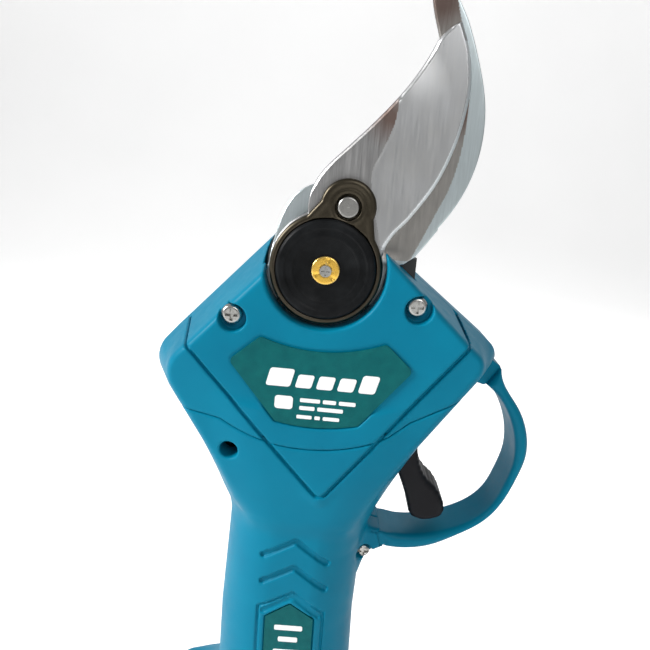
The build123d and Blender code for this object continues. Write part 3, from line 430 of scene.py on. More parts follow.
def mesh_object(name, points, faces, material, body, replaces=()):
    """Mesh from points in millimetres and equal-sided faces, riding on a CAD body."""
    points = np.asarray(points, float) * MM
    faces = np.asarray(faces)
    mesh = bpy.data.meshes.new(name)
    mesh.vertices.add(len(points))
    mesh.vertices.foreach_set("co", points.astype(np.float32).ravel())
    mesh.loops.add(faces.size)
    mesh.loops.foreach_set("vertex_index", faces.astype(np.int32).ravel())
    mesh.polygons.add(len(faces))
    mesh.polygons.foreach_set("loop_start", np.arange(0, faces.size, faces.shape[1], dtype=np.int32))
    mesh.polygons.foreach_set("use_smooth", np.ones(len(faces), bool))
    mesh.update(calc_edges=True)
    mesh.validate()
    obj = bpy.data.objects.new(name, mesh)
    bpy.context.scene.collection.objects.link(obj)
    mesh.materials.append(material)
    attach(obj, body)
    if replaces:
        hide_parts(*replaces)
    return obj


def break_edges(obj, width, angle=30):
    """Rounds the edges sharper than angle degrees, width millimetres wide."""
    rim = obj.modifiers.new("rim", "BEVEL")
    rim.width = width * MM
    rim.segments = 2
    rim.limit_method = "ANGLE"
    rim.angle_limit = radians(angle)


def net_object(name, grid, field, slot, body, replaces=(), material=None):
    points, quads = main_islands(*surface_net(grid, field))
    obj = mesh_object(name, points, quads, material or MATERIALS[slot], body, replaces)
    return obj


def lathe(name, profile, slot, body, replaces=(), dents=None, steps=160):
    """Turned piece: (radius, y) profile round the pivot axis."""
    points, quads = [], []
    for i in range(steps):
        angle = 2 * pi * i / steps
        for radius, y in profile:
            lift = dents(radius, angle) if dents else 0
            points.append((PIVOT_X + radius * cos(angle), y + lift, PIVOT_Z + radius * sin(angle)))
    n = len(profile)
    for i in range(steps):
        j = (i + 1) % steps
        for k in range(n):
            m = (k + 1) % n
            quads.append((i * n + k, i * n + m, j * n + m, j * n + k))
    obj = mesh_object(name, points, quads, MATERIALS[slot], body, replaces)
    return obj


def outlines(node, depth):
    """Closed (x, z) outlines of a CAD node's flat face at one depth, longest first."""
    mesh = nodes[node].data
    corners = [tuple(round(c / MM, 3) for c in v.co) for v in mesh.vertices]
    edges = set()
    for face in mesh.polygons:
        ring = [corners[i] for i in face.vertices]
        if all(abs(p[1] - depth) < 0.03 for p in ring):
            edges.update((a, b) for a, b in zip(ring, ring[1:] + ring[:1]) if a != b)
    follow = {a: b for a, b in edges if (b, a) not in edges}
    loops = []
    while follow:
        start, here = follow.popitem()
        loop = [start]
        while here != start:
            loop.append(here)
            here = follow.pop(here)
        loops.append([(x, z) for x, _, z in loop])
    return sorted(loops, key=girth, reverse=True)


def girth(loop):
    return sum(np.hypot(a[0] - b[0], a[1] - b[1]) for a, b in zip(loop, loop[1:] + loop[:1]))


# ------------------------------------------------------------------ teal shells
HEAD = [(-10.9, 257.2), (-49.3, 216.6), (-24.6, 175.5), (-20.5, 171), (25.5, 168.5), (63.2, 224.5), (20.9, 257.2)]
HEAD_FRONT = [(-5.2, 256.7), (-40.8, 219), (-16.4, 178.4), (-11, 172.5), (16.9, 171), (54.2, 226.4), (21.2, 257)]
FACE = [(-10.9, 260.0), (-38.0, 231.0), (-31.2, 225.7), (-26.4, 220.1), (8.1, 181.7), (47.3, 232.6), (46.2, 237.6),
        (60.0, 258.0)]
GRIP = [  # height, left, right, half depth, corner radius
    (60, -40, 44, 28, 16), (76, -40, 44, 28, 16), (86, -28.5, 29.5, 23.6, 17), (96, -23.6, 23.6, 21.8, 17),
    (130, -22.9, 22.9, 21.5, 17), (158, -21.2, 23.8, 21.5, 17), (172, -20.4, 26.6, 21.5, 17),
    (194, -26, 34, 21.5, 17), (210, -26, 34, 21.5, 17),
]
STUB = [(18, 144), (23, 146.6), (24.6, 149.9), (27.4, 153.2), (31.4, 155.4), (29.6, 161.7), (18, 163.5)]
GUARD_TOP = [(50.6, 217.1), (57.9, 214.9), (62.5, 221.3), (58.5, 224)]
GUARD_LOW = [(27.6, 155.6), (34.5, 156.0), (34.5, 160.1), (29.9, 161.0), (26.4, 161.0)]
COVER_SCREWS = ((-20.3, 236.4), (31.4, 242.3))
HANDLE_SCREWS = ((-19.8, 194.9, -14.0), (-30.0, 70.0, -24.0), (36.0, 70.0, -24.0))  # x, z and the seat's y
GUARD_SCREW = (24.8, 153.5)
FOOT_TOP = 63.9


def arc(a, b, c, count=24):
    """Points from a to c on the circle through b."""
    (ax, az), (bx, bz), (cx, cz) = a, b, c
    d = 2 * (ax * (bz - cz) + bx * (cz - az) + cx * (az - bz))
    sa, sb, sc = ax * ax + az * az, bx * bx + bz * bz, cx * cx + cz * cz
    mx = (sa * (bz - cz) + sb * (cz - az) + sc * (az - bz)) / d
    mz = (sa * (cx - bx) + sb * (ax - cx) + sc * (bx - ax)) / d
    radius = np.hypot(ax - mx, az - mz)
    first, last = (np.arctan2(pz - mz, px - mx) for px, pz in (a, c))
    turn = (last - first + pi) % (2 * pi) - pi
    return [(mx + radius * cos(first + turn * i / count), mz + radius * sin(first + turn * i / count))
            for i in range(count + 1)]


SEAM = [(-70, 213.8)] + arc((-22.5, 204.9), (2.5, 197.9), (27.2, 203.2)) + [
    (33.1, 208.0), (80, 232.4), (80, 300), (-70, 300)]
LABEL_ARCS = arc((-11.6, 231.4), (6.4, 228.0), (23.8, 231.6)) + [(31.9, 224.2)] + arc(
    (17.8, 206.6), (7.6, 205.1), (-6.4, 206.4)) + [(-20.3, 223.9)]
GRIP_FRAME = [(-8.9, 139.4), (2.3, 145.6), (12.3, 137.8), (12.3, 101.5), (1.4, 95.5), (-8.9, 101.5)]
GRIP_LABEL = [(1.4, 141), (9.2, 135.8), (9.2, 104), (1.4, 98.8), (-6.4, 104), (-6.4, 135.8)]


def rounded(points, radius, at):
    """Outline with the corners listed in at rounded."""
    result = []
    for i, p in enumerate(points):
        if i not in at:
            result.append(p)
            continue
        before, after = Vector(points[i - 1]), Vector(points[(i + 1) % len(points)])
        corner = Vector(p)
        a, b = (before - corner).normalized(), (after - corner).normalized()
        half = a.angle(b) / 2
        start, end = corner + a * radius / np.tan(half), corner + b * radius / np.tan(half)
        centre = corner + (a + b).normalized() * radius / sin(half)
        for k in range(9):
            direction = (start - centre).lerp(end - centre, k / 8).normalized()
            result.append(tuple(centre + direction * radius))
    return result


LABEL = rounded(LABEL_ARCS, 1.6, (0, 24, 25, 26, 50, 51))


def outer_skin(g):
    """Outer surface of all four shells together; the head narrows from its parting plane to its front."""
    middle = g.outline(rounded(rounded(HEAD, 5, (5,)), 9, (1,)))
    nose = g.outline(rounded(rounded(HEAD_FRONT, 5, (5,)), 9, (1,)))
    forward = np.clip(-g.y / 22, 0, 1.15)
    head = middle * (1 - forward) + nose * forward
    pad = g.outline(FACE)
    front = -25 + 0.5 * step_up(pad / 0.8 + 0.3) + 0.12 * np.clip(pad, 0, None)
    front = front + 1.9 * step_up((190 - g.z) / 20) * step_up(pad / 4)
    body = round_max(head, front - g.y, 1.6)
    body = soft_max(body, front - g.y, 3.4)
    body = round_max(body, g.y - 22, 6.0)
    left, right, depth, corner = (np.interp(g.z, [s[0] for s in GRIP], [s[i] for s in GRIP]) for i in (1, 2, 3, 4))
    grip = round_max(np.abs(g.x - (left + right) / 2) - (right - left) / 2, np.abs(g.y) - depth, corner)
    grip = np.maximum(grip, np.maximum(g.z - 206, 62 - g.z))
    skin = soft_min(body, grip, 8)
    skin = soft_min(skin, g.block((-46, -30, 50.4), (50, 30, 76), 7), 9)
    stub = g.slab(g.outline(STUB), -8.3, 8.3, 2)
    return soft_min(skin, stub, 3)


def shell(g):
    """Shell with its recess, bosses, pockets and openings; the seams come after.

    Open fault: FOOT_TOP - g.z keeps everything above that height solid, where only the foot below it should be. So
    the walls have no hollow behind them, apart from the openings cut further down.
    """
    skin = outer_skin(g)
    cavity = skin + 2.5
    solid = [g.slab(g.rod(PIVOT_X, PIVOT_Z, 18.9), -30, -16.2), FOOT_TOP - g.z]
    solid += [g.slab(g.rod(x, z, 4.7), -30, 19.4) for x, z in COVER_SCREWS]
    solid += [g.slab(g.rod(x, z, 4.4), seat - 6, 20) for x, z, seat in HANDLE_SCREWS]
    for keep in solid:
        cavity = np.maximum(cavity, -keep)
    body = soft_max(skin, -cavity, 0.8)

    def carve(field, depth, flat, k=0.35):
        """Sinks a front-side outline by depth below the skin."""
        return soft_max(field, -np.maximum(np.maximum(-(skin + depth), flat), g.y), k)

    pad = g.outline(rounded(FACE, 2.0, (4,)))
    body = carve(body, 1.15, np.abs(pad - 0.35) - 0.55, 0.4)
    label = g.outline(LABEL)
    body = soft_max(body, -np.maximum(label - 0.35, g.y + 24.1), 0.35)
    for peak in (164.5, 154.9):
        chevron = open_distance(g, [(-8.0, peak - 5.9), (2.2, peak), (12.2, peak - 7.8)])
        body = carve(body, 1.0, chevron - 0.95, 0.3)
    badge = g.outline(GRIP_LABEL)
    body = carve(body, 0.9, badge - 0.35)
    body = carve(body, 0.7, np.abs(g.outline(GRIP_FRAME)) - 0.4, 0.3)
    body = carve(body, 0.6, open_distance(g, [(-7.2, 138.1), (2.3, 143.9), (10.8, 136.9)]) - 0.9, 0.3)

    # recess of the dust cap, gear chamber and rear bush
    body = soft_max(body, -g.slab(g.rod(PIVOT_X, PIVOT_Z, 16.9), -40, -15.1), 0.9)
    body = np.maximum(body, -g.slab(g.rod(PIVOT_X, PIVOT_Z, 17.8), -16.4, 16.6))
    body = np.maximum(body, -g.slab(g.rod(PIVOT_X, PIVOT_Z, 8.0), 0, 19.3))
    # screw holes with their counterbores
    for x, z in COVER_SCREWS:
        body = soft_max(body, -g.slab(g.rod(x + 0.45, z - 0.55, 4.0), -40, -20.4), 0.4)
        body = np.maximum(body, -g.slab(g.rod(x, z, 1.6), -22, 17))
    for x, z, seat in HANDLE_SCREWS:
        body = soft_max(body, -g.slab(g.rod(x, z, 2.8), -40, seat), 0.5)
        body = np.maximum(body, -g.slab(g.rod(x, z, 1.6), seat - 1, 14))
    body = soft_max(body, -g.slab(g.rod(*GUARD_SCREW, 2.8), -30, -6.4), 0.4)
    # sockets of the guard's tongues, then the trigger's slot, the room behind its toe and its pin's chamber
    body = np.maximum(body, -g.slab(g.outline(GUARD_TOP) - 0.15, -5.15, 5.15))
    body = np.maximum(body, -g.slab(g.outline(GUARD_LOW) - 0.1, -7.7, 7.7))
    body = np.maximum(body, -g.block((26.4, -7.6, 174.6), (43, 7.6, 196)))
    body = soft_max(body, -g.block((26.5, -7.6, 164), (43, 7.6, 176)), 0.5)
    body = np.maximum(body, -g.block((30, -7.6, 195), (41.2, 7.6, 207.4)))
    # slots for the fixed blade, the moving blade's heel and the gear case's ear
    blade = [(-13.1, 232.7), (23.5, 232.7), (24.7, 250), (32, 257.8), (32, 262), (-11.8, 262), (-11.8, 251),
             (-13.1, 246)]
    body = np.maximum(body, -g.slab(g.outline(blade), -16.0, -12.0))
    heel = [(14, 250), (22.2, 250), (25.2, 257.5), (25.2, 262), (14, 262)]
    body = np.maximum(body, -g.slab(g.outline(heel), -19.1, -15.1))
    ear = [(14, 246), (31.6, 246), (31.6, 255), (27, 254.6), (14, 254.4)]
    body = np.maximum(body, -g.slab(g.outline(ear), -13.0, -9.6))
    # channel and rails for the battery, contact slots and the power button's hole
    body = np.maximum(body, -g.block((-44, -20.9, 40), (51, 20.9, 61.5)))
    for side in (-1, 1):
        low, high = sorted((side * 17.7, side * 21.9))
        body = np.minimum(body, g.block((-45, low, 51.9), (46, high, 55.1), 0.4))
    for y in (-9.0, 9.0):
        body = np.maximum(body, -g.block((-30.1, y - 0.5, 60.5), (-13.9, y + 0.5, 65.5)))
    body = soft_max(body, -g.slab(g.rod(3.0, 69.8, 4.45), -40, -20), 0.5)
    return skin, body


def shells():
    pieces = (  # name, CAD node, box, step, front (1) or rear (-1) half, above (1) or below (-1) the head's seam
        ("head_front_visual", "head_front_cover", (-52, -26.5, 194), (66, 0, 259), 0.40, 1, 1),
        ("head_rear_visual", "head_rear_cover", (-52, 0, 194), (66, 23, 259), 0.62, -1, 1),
        ("handle_front_visual", "handle_front_shell", (-50, -31, 49), (62, 0, 231), 0.44, 1, -1),
        ("handle_rear_visual", "handle_rear_shell", (-50, 0, 49), (62, 31, 231), 0.62, -1, -1),
    )
    for name, node, low, high, step, front, above in pieces:
        g = Grid(low, high, step)
        skin, field = shell(g)
        # the seam steps down inside the wall, so that nothing shows through it
        lip = 1.2 * step_up((-skin - 1.1) / 0.5)
        field = soft_max(field, front * g.y + 0.04, 0.3)
        field = soft_max(field, above * (g.outline(SEAM) + lip) + 0.06, 0.5)
        net_object(name, g, field, "teal_shell", "housing", (node,))


# ------------------------------------------------------------------ blades and carrier
MOVING_FRONT, MOVING_BACK = -18.6, -15.6
FIXED_FRONT, FIXED_BACK = -15.5, -12.5
FIXED_FOOT = [(35.8, 263.4), (33.0, 259.2), (30.2, 255.3), (27.1, 252.9), (22.0, 252.0), (24.0, 258.0)]
GRIND = [(19.3, 300.5), (21.0, 297.0), (20.9, 292.5), (20.0, 288.5), (17.9, 283.2), (16.0, 278.9), (15.8, 275.0),
         (16.8, 268.8), (19.5, 259.4), (20.5, 250.0)]
RIM = [(33.6, 322.5), (35.6, 316.4), (38.2, 309.4), (39.3, 303.8), (40.0, 293.5), (39.2, 282.9), (37.4, 274.9),
       (34.7, 268.2), (30.8, 258.9), (27.8, 252.0)]


def smooth_line(points, pieces=8):
    """Catmull-Rom curve through the points."""
    p = [np.array(q, float) for q in [points[0], *points, points[-1]]]
    curve = []
    for a, b, c, d in zip(p, p[1:], p[2:], p[3:]):
        for i in range(pieces):
            t = i / pieces
            curve.append(tuple(0.5 * (2 * b + (c - a) * t + (2 * a - 5 * b + 4 * c - d) * t * t
                                      + (3 * b - a - 3 * c + d) * t ** 3)))
    return curve + [tuple(p[-1])]


def face_places(obj):
    """Middle of every face in millimetres."""
    centre = np.zeros(len(obj.data.polygons) * 3)
    obj.data.polygons.foreach_get("center", centre)
    return centre.reshape(-1, 3).T / MM


def paint(obj, materials, index):
    for material in materials:
        obj.data.materials.append(material)
    obj.data.polygons.foreach_set("material_index", index.astype(np.int32))


def line_distance(px, pz, points):
    """Distance to an open (x, z) line and the side: + on the left hand of its travel."""
    best = np.full(px.shape, 1e9)
    sign = np.ones(px.shape)
    for (ax, az), (bx, bz) in zip(points, points[1:]):
        ex, ez = bx - ax, bz - az
        wx, wz = px - ax, pz - az
        t = np.clip((wx * ex + wz * ez) / (ex * ex + ez * ez), 0, 1)
        d = np.hypot(wx - ex * t, wz - ez * t)
        nearer = d < best
        best = np.where(nearer, d, best)
        sign = np.where(nearer, np.where(ex * wz - ez * wx > 0, 1, -1), sign)
    return best, best * sign


def open_distance(g, points, signed=False):
    """line_distance on a grid."""
    px, pz = np.meshgrid(g.along_x, g.along_z, indexing="ij")
    return line_distance(px, pz, points)[int(signed)][:, None, :]


def blades():
    loop, *holes = outlines("moving_blade", MOVING_FRONT)
    g = Grid((-12, -19.2, 232), (42, -15.0, 318), 0.26)
    flat = g.outline(loop)
    edge = smooth_line([(35.6, 316.6), (37.2, 313.2), (38.7, 309.1), (39.8, 301.8), (39.4, 294.6), (37.6, 285.5),
                        (33.7, 275.4), (27.6, 266.0), (23.6, 261.4), (21.0, 256.5), (20.2, 250.0)])
    grind_line = smooth_line(GRIND)
    from_edge = open_distance(g, edge)
    grind = open_distance(g, grind_line, signed=True)
    flat = np.maximum(flat, np.where(g.z > 255, open_distance(g, edge, signed=True), -9))
    hollow = 1.0 * step_up(grind / 14) + 0.16 * step_up(grind / 0.6) * step_up((g.z - 266) / 14)
    front = MOVING_FRONT + hollow * step_up((g.z - 252) / 8)
    front = front + 1.2 * np.clip(1 - from_edge / 1.1, 0, 1) * step_up((g.z - 256) / 3)
    spine = np.clip(0.8 + flat, 0, None) * step_up((from_edge - 2) / 2) * step_up((g.z - 270) / 4)
    front = front + 0.8 * spine
    field = round_max(flat, np.maximum(front - g.y, g.y - MOVING_BACK), 0.25)
    for hole in holes:
        field = np.maximum(field, -g.outline(hole))
    blade = net_object("moving_blade_visual", g, field, "blade_steel", "blade_group", ("moving_blade",), MOVING_STEEL)
    x, y, z = face_places(blade)
    ground = (line_distance(x, z, grind_line)[1] > 0) & (z > 256) & (y < -16.2)
    # the band along the cutting edge gets the painted highlight steel
    edge_highlight_band = (line_distance(x, z, edge)[0] < 1.1) & (z > 257) & (z < 312) & (y < -16.0)
    paint(blade, (MOVING_GROUND, EDGE_HIGHLIGHT_STEEL), np.where(edge_highlight_band, 2, np.where(ground, 1, 0)))

    loop, *holes = outlines("fixed_blade", FIXED_BACK)
    g = Grid((-14, -16.2, 232), (46, -11.8, 328), 0.26)
    flat = soft_min(g.outline(loop), g.outline(FIXED_FOOT), 0.6)
    rim_line = smooth_line(RIM)
    inside_rim = -open_distance(g, rim_line, signed=True)
    front = FIXED_FRONT + 0.16 * np.clip(inside_rim, 0, 9) * step_up((g.z - 252) / 5)
    field = round_max(flat, np.maximum(front - g.y, g.y - FIXED_BACK), 0.25)
    for hole in holes:
        field = np.maximum(field, -g.outline(hole))
    for x, z in ((-8.6, 237.2), (19.0, 237.2)):
        field = np.maximum(field, -g.slab(g.rod(x, z, 3.2), -17, -14.0))
    blade = net_object("fixed_blade_visual", g, field, "blade_steel", "housing", ("fixed_blade",), FIXED_REFLECTION_STEEL)
    x, y, z = face_places(blade)
    # faces inside the rim line take the grey-brown steel; the outer rim band keeps the paler bluish painted
    # reflection
    ground = (line_distance(x, z, rim_line)[1] < 0) & (z > 254) & (x > 12) & (y < -12.8)
    paint(blade, (FIXED_GROUND,), np.where(ground, 1, 0))


def carrier():
    g = Grid((-12, -23.2, 234), (22, -18.2, 278), 0.24)
    big, small = g.rod(PIVOT_X, PIVOT_Z, 15.6), g.rod(PIN_X, PIN_Z, 7.6)
    dx, dz = PIN_X - PIVOT_X, PIN_Z - PIVOT_Z
    span = np.hypot(dx, dz)
    t = np.clip(((g.x - PIVOT_X) * dx + (g.z - PIVOT_Z) * dz) / span ** 2, 0, 1)
    taper = np.hypot(g.x - PIVOT_X - dx * t, g.z - PIVOT_Z - dz * t) - (15.6 - 8.0 * t)
    flat = np.minimum(np.minimum(big, small), taper + 0.35)
    rim = np.exp(-((flat + 1.3) / 0.9) ** 2)
    front = -22.15 - 0.3 * rim - 0.2 * np.exp(-((g.rod(PIN_X, PIN_Z, 0) - 4.4) / 0.5) ** 2)
    field = round_max(flat, np.maximum(front - g.y, g.y + 18.7), 0.8)
    field = soft_max(field, -g.slab(g.rod(PIVOT_X, PIVOT_Z, 13.9), -30, -20.98), 0.3)
    field = soft_max(field, -g.slab(g.rod(PIN_X, PIN_Z, 2.92), -30, -10), 0.3)
    field = soft_max(field, -g.slab(g.rod(PIN_X, PIN_Z, 3.5), -30, -21.4), 0.2)
    keyed = np.maximum(g.rod(PIVOT_X, PIVOT_Z, 5.15), np.abs(g.x - PIVOT_X) - 4.22)
    field = np.maximum(field, -keyed)
    net_object("blade_carrier_visual", g, field, "bronze_carrier", "blade_group", ("blade_carrier",))

    pin = [(0.0001, -22.62), (0.3, -22.62), (1.2, -22.62), (2.0, -22.62), (2.38, -22.62), (2.46, -22.61),
           (2.76, -22.45), (2.86, -22.2), (2.86, -22.1), (2.86, -15.7), (2.82, -15.65), (2.7, -15.65),
           (0.0001, -15.65)]
    obj = lathe("drive_pin_visual", pin, "bearing_steel", "blade_group", steps=96)
    obj.data.transform(Matrix.Translation(((PIN_X - PIVOT_X) * MM, 0, (PIN_Z - PIVOT_Z) * MM)))
    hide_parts("drive_pin")


def cap():
    front = -23.5
    profile = [(1.25, -21.0), (1.25, front + 0.5), (4.2, front + 0.5), (8.6, front + 0.5), (8.9, front + 0.36),
               (9.2, front + 0.22), (9.6, front + 0.25), (10.9, front + 0.25), (11.2, front + 0.2),
               (11.45, front + 0.02), (11.8, front), (12.3, front + 0.04), (12.7, front), (13.1, front + 0.1),
               (13.5, front + 0.35), (13.72, front + 0.65), (13.8, front + 0.95), (13.8, -21.0)]
    lathe("dust_cap_visual", profile, "cap_black", "blade_group", ("dust_cap",))

    def dents(radius, angle):
        if not 2.3 < radius < 3.6:
            return 0
        return max(0.22 * np.exp(-((angle - at) / 0.16) ** 2) for at in (radians(80), radians(205), radians(318)))

    back = front + 0.48
    washer = [(1.25, back), (1.25, back - 0.7), (1.35, back - 0.8), (2.2, back - 0.8), (2.6, back - 0.8),
              (3.0, back - 0.8), (3.4, back - 0.8), (3.7, back - 0.76), (3.88, back - 0.6), (3.9, back - 0.3),
              (3.9, back)]
    lathe("brass_washer_visual", washer, "brass", "blade_group", ("brass_washer",), dents)


# ------------------------------------------------------------------ guard, trigger, labels
def guard():
    loop = outlines("trigger_guard", -8.3)[0]
    g = Grid((24, -8.6, 153), (76, 8.6, 225), 0.42)
    field = g.slab(g.outline(loop), -8.3, 8.3, 2.2)
    field = soft_max(field, -g.outline([(20, 161.6), (33.5, 160.3), (33.5, 175), (20, 175)]), 0.5)
    field = np.minimum(field, g.slab(g.outline(GUARD_TOP), -5, 5, 0.3))
    field = soft_min(field, g.slab(g.outline(GUARD_LOW), -7.6, 7.6, 0.8), 0.5)
    net_object("trigger_guard_visual", g, field, "teal_guard", "housing", ("trigger_guard",))


def trigger():
    loop = outlines("trigger_lever", -7.0)[0]
    g = Grid((30, -7.4, 164), (52, 7.4, 208), 0.36)
    flat = g.outline(loop)
    ridges = 0.10 * np.cos(2 * pi * (g.z - 0.3 * g.x) / 2.2) * step_up((g.x - 37) / 3) * step_up((192 - g.z) / 4)
    field = g.slab(flat + 0.1 + ridges * step_up((flat + 2.5) / 2), -7, 7, 2.0)
    field = np.maximum(field, -g.rod(LEVER_X, LEVER_Z, 1.52))
    field = np.maximum(field, -g.slab(g.rod(34.6, 190.4, 1.6), -2.5, 2.5))
    net_object("trigger_lever_visual", g, field, "trigger_black", "trigger_group", ("trigger_lever",))


def print_mark(name, points, front):
    """Flat white plate on a label, from a closed (x, z) outline, with its sharp rims broken."""
    back = front + 0.14
    if sum((b[0] - a[0]) * (b[1] + a[1]) for a, b in zip(points, points[1:] + points[:1])) > 0:
        points = points[::-1]
    mesh = bpy.data.meshes.new(name)
    n = len(points)
    verts = [(x * MM, front * MM, z * MM) for x, z in points] + [(x * MM, back * MM, z * MM) for x, z in points]
    faces = [list(range(n)), list(range(2 * n - 1, n - 1, -1))]
    faces += [[i, i + n, (i + 1) % n + n, (i + 1) % n] for i in range(n)]
    mesh.from_pydata(verts, [], faces)
    mesh.update()
    obj = bpy.data.objects.new(name, mesh)
    bpy.context.scene.collection.objects.link(obj)
    mesh.materials.append(WHITE_INK)
    break_edges(obj, 0.05)
    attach(obj, "housing")


def bar(left, right, low, high, lean, corner):
    """Rounded bar outline, leaning by lean millimetres over its height."""
    points = []
    for cx, cz, start in ((right - corner, high - corner, 0), (left + corner, high - corner, 90),
                          (left + corner, low + corner, 180), (right - corner, low + corner, 270)):
        for step in range(5):
            angle = radians(start + 90 * step / 4)
            x, z = cx + corner * cos(angle), cz + corner * sin(angle)
            points.append((x + lean * (z - low) / (high - low), z))
    return points


def label_marks():
    """Plain white bars where the maker's print sits on the head label and the grip label."""
    tilt, mid_x, mid_z = radians(-1.2), 5, 215
    marks = [  # left, right, low, high, lean, corner radius
        (-9.6, -2.6, 217.0, 222.4, 1.2, 0.8), (-1.2, 3.4, 217.0, 221.0, 0.9, 0.7), (4.8, 9.4, 217.0, 221.0, 0.9, 0.7),
        (10.8, 15.4, 217.0, 221.0, 0.9, 0.7), (16.8, 21.6, 217.0, 222.4, 1.2, 0.8),
        (-6.6, -1.4, 210.2, 214.2, 0.0, 0.9),
        (0.6, 6.4, 212.7, 213.9, 0.0, 0.35), (7.2, 11.0, 212.7, 213.9, 0.0, 0.35),
        (11.8, 16.6, 212.7, 213.9, 0.0, 0.35),
        (0.6, 5.0, 210.3, 211.5, 0.0, 0.35), (5.8, 13.2, 210.3, 211.5, 0.0, 0.35),
        (0.0, 4.4, 207.6, 208.7, 0.0, 0.3), (5.2, 6.8, 207.6, 208.7, 0.0, 0.3), (7.6, 12.4, 207.6, 208.7, 0.0, 0.3),
    ]
    for number, mark in enumerate(marks, 1):
        points = []
        for x, z in bar(*mark):
            x, z = x - mid_x, z - mid_z
            points.append((x * cos(tilt) - z * sin(tilt) + mid_x, x * sin(tilt) + z * cos(tilt) + mid_z))
        print_mark(f"head_print_{number:02d}", points, -24.92)
    for number, (z, half) in enumerate(((131.0, 4.6), (126.5, 3.2), (121.5, 4.6)), 1):
        print_mark(f"grip_print_{number}", bar(1.4 - half, 1.4 + half, z, z + 1.9, 0, 0.5), -21.42)


# ------------------------------------------------------------------ battery
PACK_X, PACK_SEAM = 7, 27
PACK_SCREWS = [(x, y) for x in (-45.2, 57.5) for y in (-29.8, 29.8)]


def battery_tower(g):
    """Slide-on block on top of the pack: side grooves, contact slots and a lowered middle."""
    tower = g.block((-42, -20.5, 48), (47, 20.5, 60.5), 0.8)
    for side in (-1, 1):
        low, high = sorted((side * 17.3, side * 22))
        tower = np.maximum(tower, -g.block((-44, low, 51.5), (48, high, 55.5)))
    for y in (-9.0, 9.0):
        tower = np.maximum(tower, -g.block((-44, y - 1.5, 51.2), (-10, y + 1.5, 62)))
    return np.maximum(tower, -g.block((-44, -14.5, 57.6), (-6, 14.5, 62)))


def battery_body(g):
    """Both halves of the battery case in one field; the seam cut comes after."""
    side = round_max(np.abs(g.x - PACK_X) - 57, np.abs(g.y) - 37.5, 10)
    skin = round_max(side, np.maximum(-g.z, g.z - 50), 3.5)
    ribs = (np.abs(g.x - PACK_X) > 38) & (np.abs(g.x - PACK_X) < 54)
    wave = np.clip(0.55 * np.cos(2 * pi * (g.x - PACK_X) / 4.0) - 0.1, 0, None)
    band = step_up((g.z - 7) / 2) * step_up((43 - g.z) / 2)
    body = skin + 1.0 * wave * ribs * band
    body = soft_max(body, -np.maximum(-(skin + 0.5), np.abs(g.z - PACK_SEAM) - 0.35), 0.3)
    cavity = np.maximum(skin + 2.4, g.z - 47.2)
    for x, y in PACK_SCREWS:
        cavity = np.maximum(cavity, -(np.hypot(g.x - x, g.y - y) - 2.9))
    body = np.maximum(body, -cavity)
    body = np.minimum(body, np.maximum(battery_tower(g), 47.2 - g.z))
    label_pocket = np.hypot(np.maximum(np.abs(g.x - PACK_X) - 19, 0), g.z - 26) - 12.2
    body = soft_max(body, -np.maximum(label_pocket, g.y + 37.05), 0.3)
    button_opening = g.block((54.2, -13.3, 32), (70, 13.3, 44.3))
    body = np.maximum(body, -button_opening)
    for x, y in PACK_SCREWS:
        body = np.maximum(body, -np.maximum(np.hypot(g.x - x, g.y - y) - 2.0, g.z - 4))
        body = np.maximum(body, -np.maximum(np.hypot(g.x - x, g.y - y) - 1.25, g.z - 40))
    spring_seat = g.block((53, -4, 27.4), (62.5, 4, 28.8), 0.3)
    return np.minimum(body, spring_seat)


def trim_loop(grow):
    """Rounded rectangle round the pack's label, grown by grow millimetres."""
    half_x, half_z, corner = 33.4 + grow, 18.6 + grow, 7 + grow
    loop = []
    for sx, sz, start in ((1, 1, 0), (-1, 1, 90), (-1, -1, 180), (1, -1, 270)):
        for step in range(9):
            angle = radians(start + 90 * step / 8)
            loop.append((PACK_X + sx * (half_x - corner) + corner * cos(angle),
                         25.4 + sz * (half_z - corner) + corner * sin(angle)))
    return loop


def battery_trim(name, face):
    """Teal frame standing proud of the front (face -1) or rear (face 1) wall."""
    outer, inner = trim_loop(0.9), trim_loop(-0.9)
    out, low = face * 38.0, face * 37.2
    ring = [(x, y, z) for loop, y in ((outer, low), (outer, out), (inner, out), (inner, low)) for x, z in loop]
    n = len(outer)
    quads = []
    for layer in range(4):
        for i in range(n):
            j = (i + 1) % n
            a, b = layer * n, (layer + 1) % 4 * n
            quads.append((a + i, a + j, b + j, b + i) if face < 0 else (a + i, b + i, b + j, a + j))
    obj = mesh_object(name, ring, quads, TEAL_TRIM, "battery_pack")
    obj.data.polygons.foreach_set("use_smooth", np.zeros(len(quads), bool))
    break_edges(obj, 0.25)


def battery():
    g = Grid((-50.5, -38, -0.5), (64.5, 38, PACK_SEAM), 0.7)
    net_object("battery_lower_visual", g, soft_max(battery_body(g), g.z - 26.98, 0.3), "battery_black",
               "battery_pack", ("battery_lower_case",))
    g = Grid((-50.5, -38, PACK_SEAM), (64.5, 38, 61), 0.7)
    net_object("battery_upper_visual", g, soft_max(battery_body(g), 27.05 - g.z, 0.3), "battery_black",
               "battery_pack", ("battery_upper_case",))
    battery_trim("battery_trim_front", -1)
    battery_trim("battery_trim_rear", 1)


shells()
blades()
carrier()
cap()
guard()
trigger()
label_marks()
battery()

# ------------------------------------------------------------------ carried-over CAD nodes
ROUNDED_NODES = ("power_button", "release_button", "gear_case", "cover_screws", "handle_screws", "cap_screw",
                 "head_label", "handle_label", "battery_label", "terminal_block")
for name, obj in nodes.items():
    slot = record_slot(name)
    finish = MATERIALS.get(slot, MATERIALS["component_black"])
    obj.data.materials.clear()
    obj.data.materials.append(finish)
    if name in ROUNDED_NODES:
        break_edges(obj, 0.12, 40)
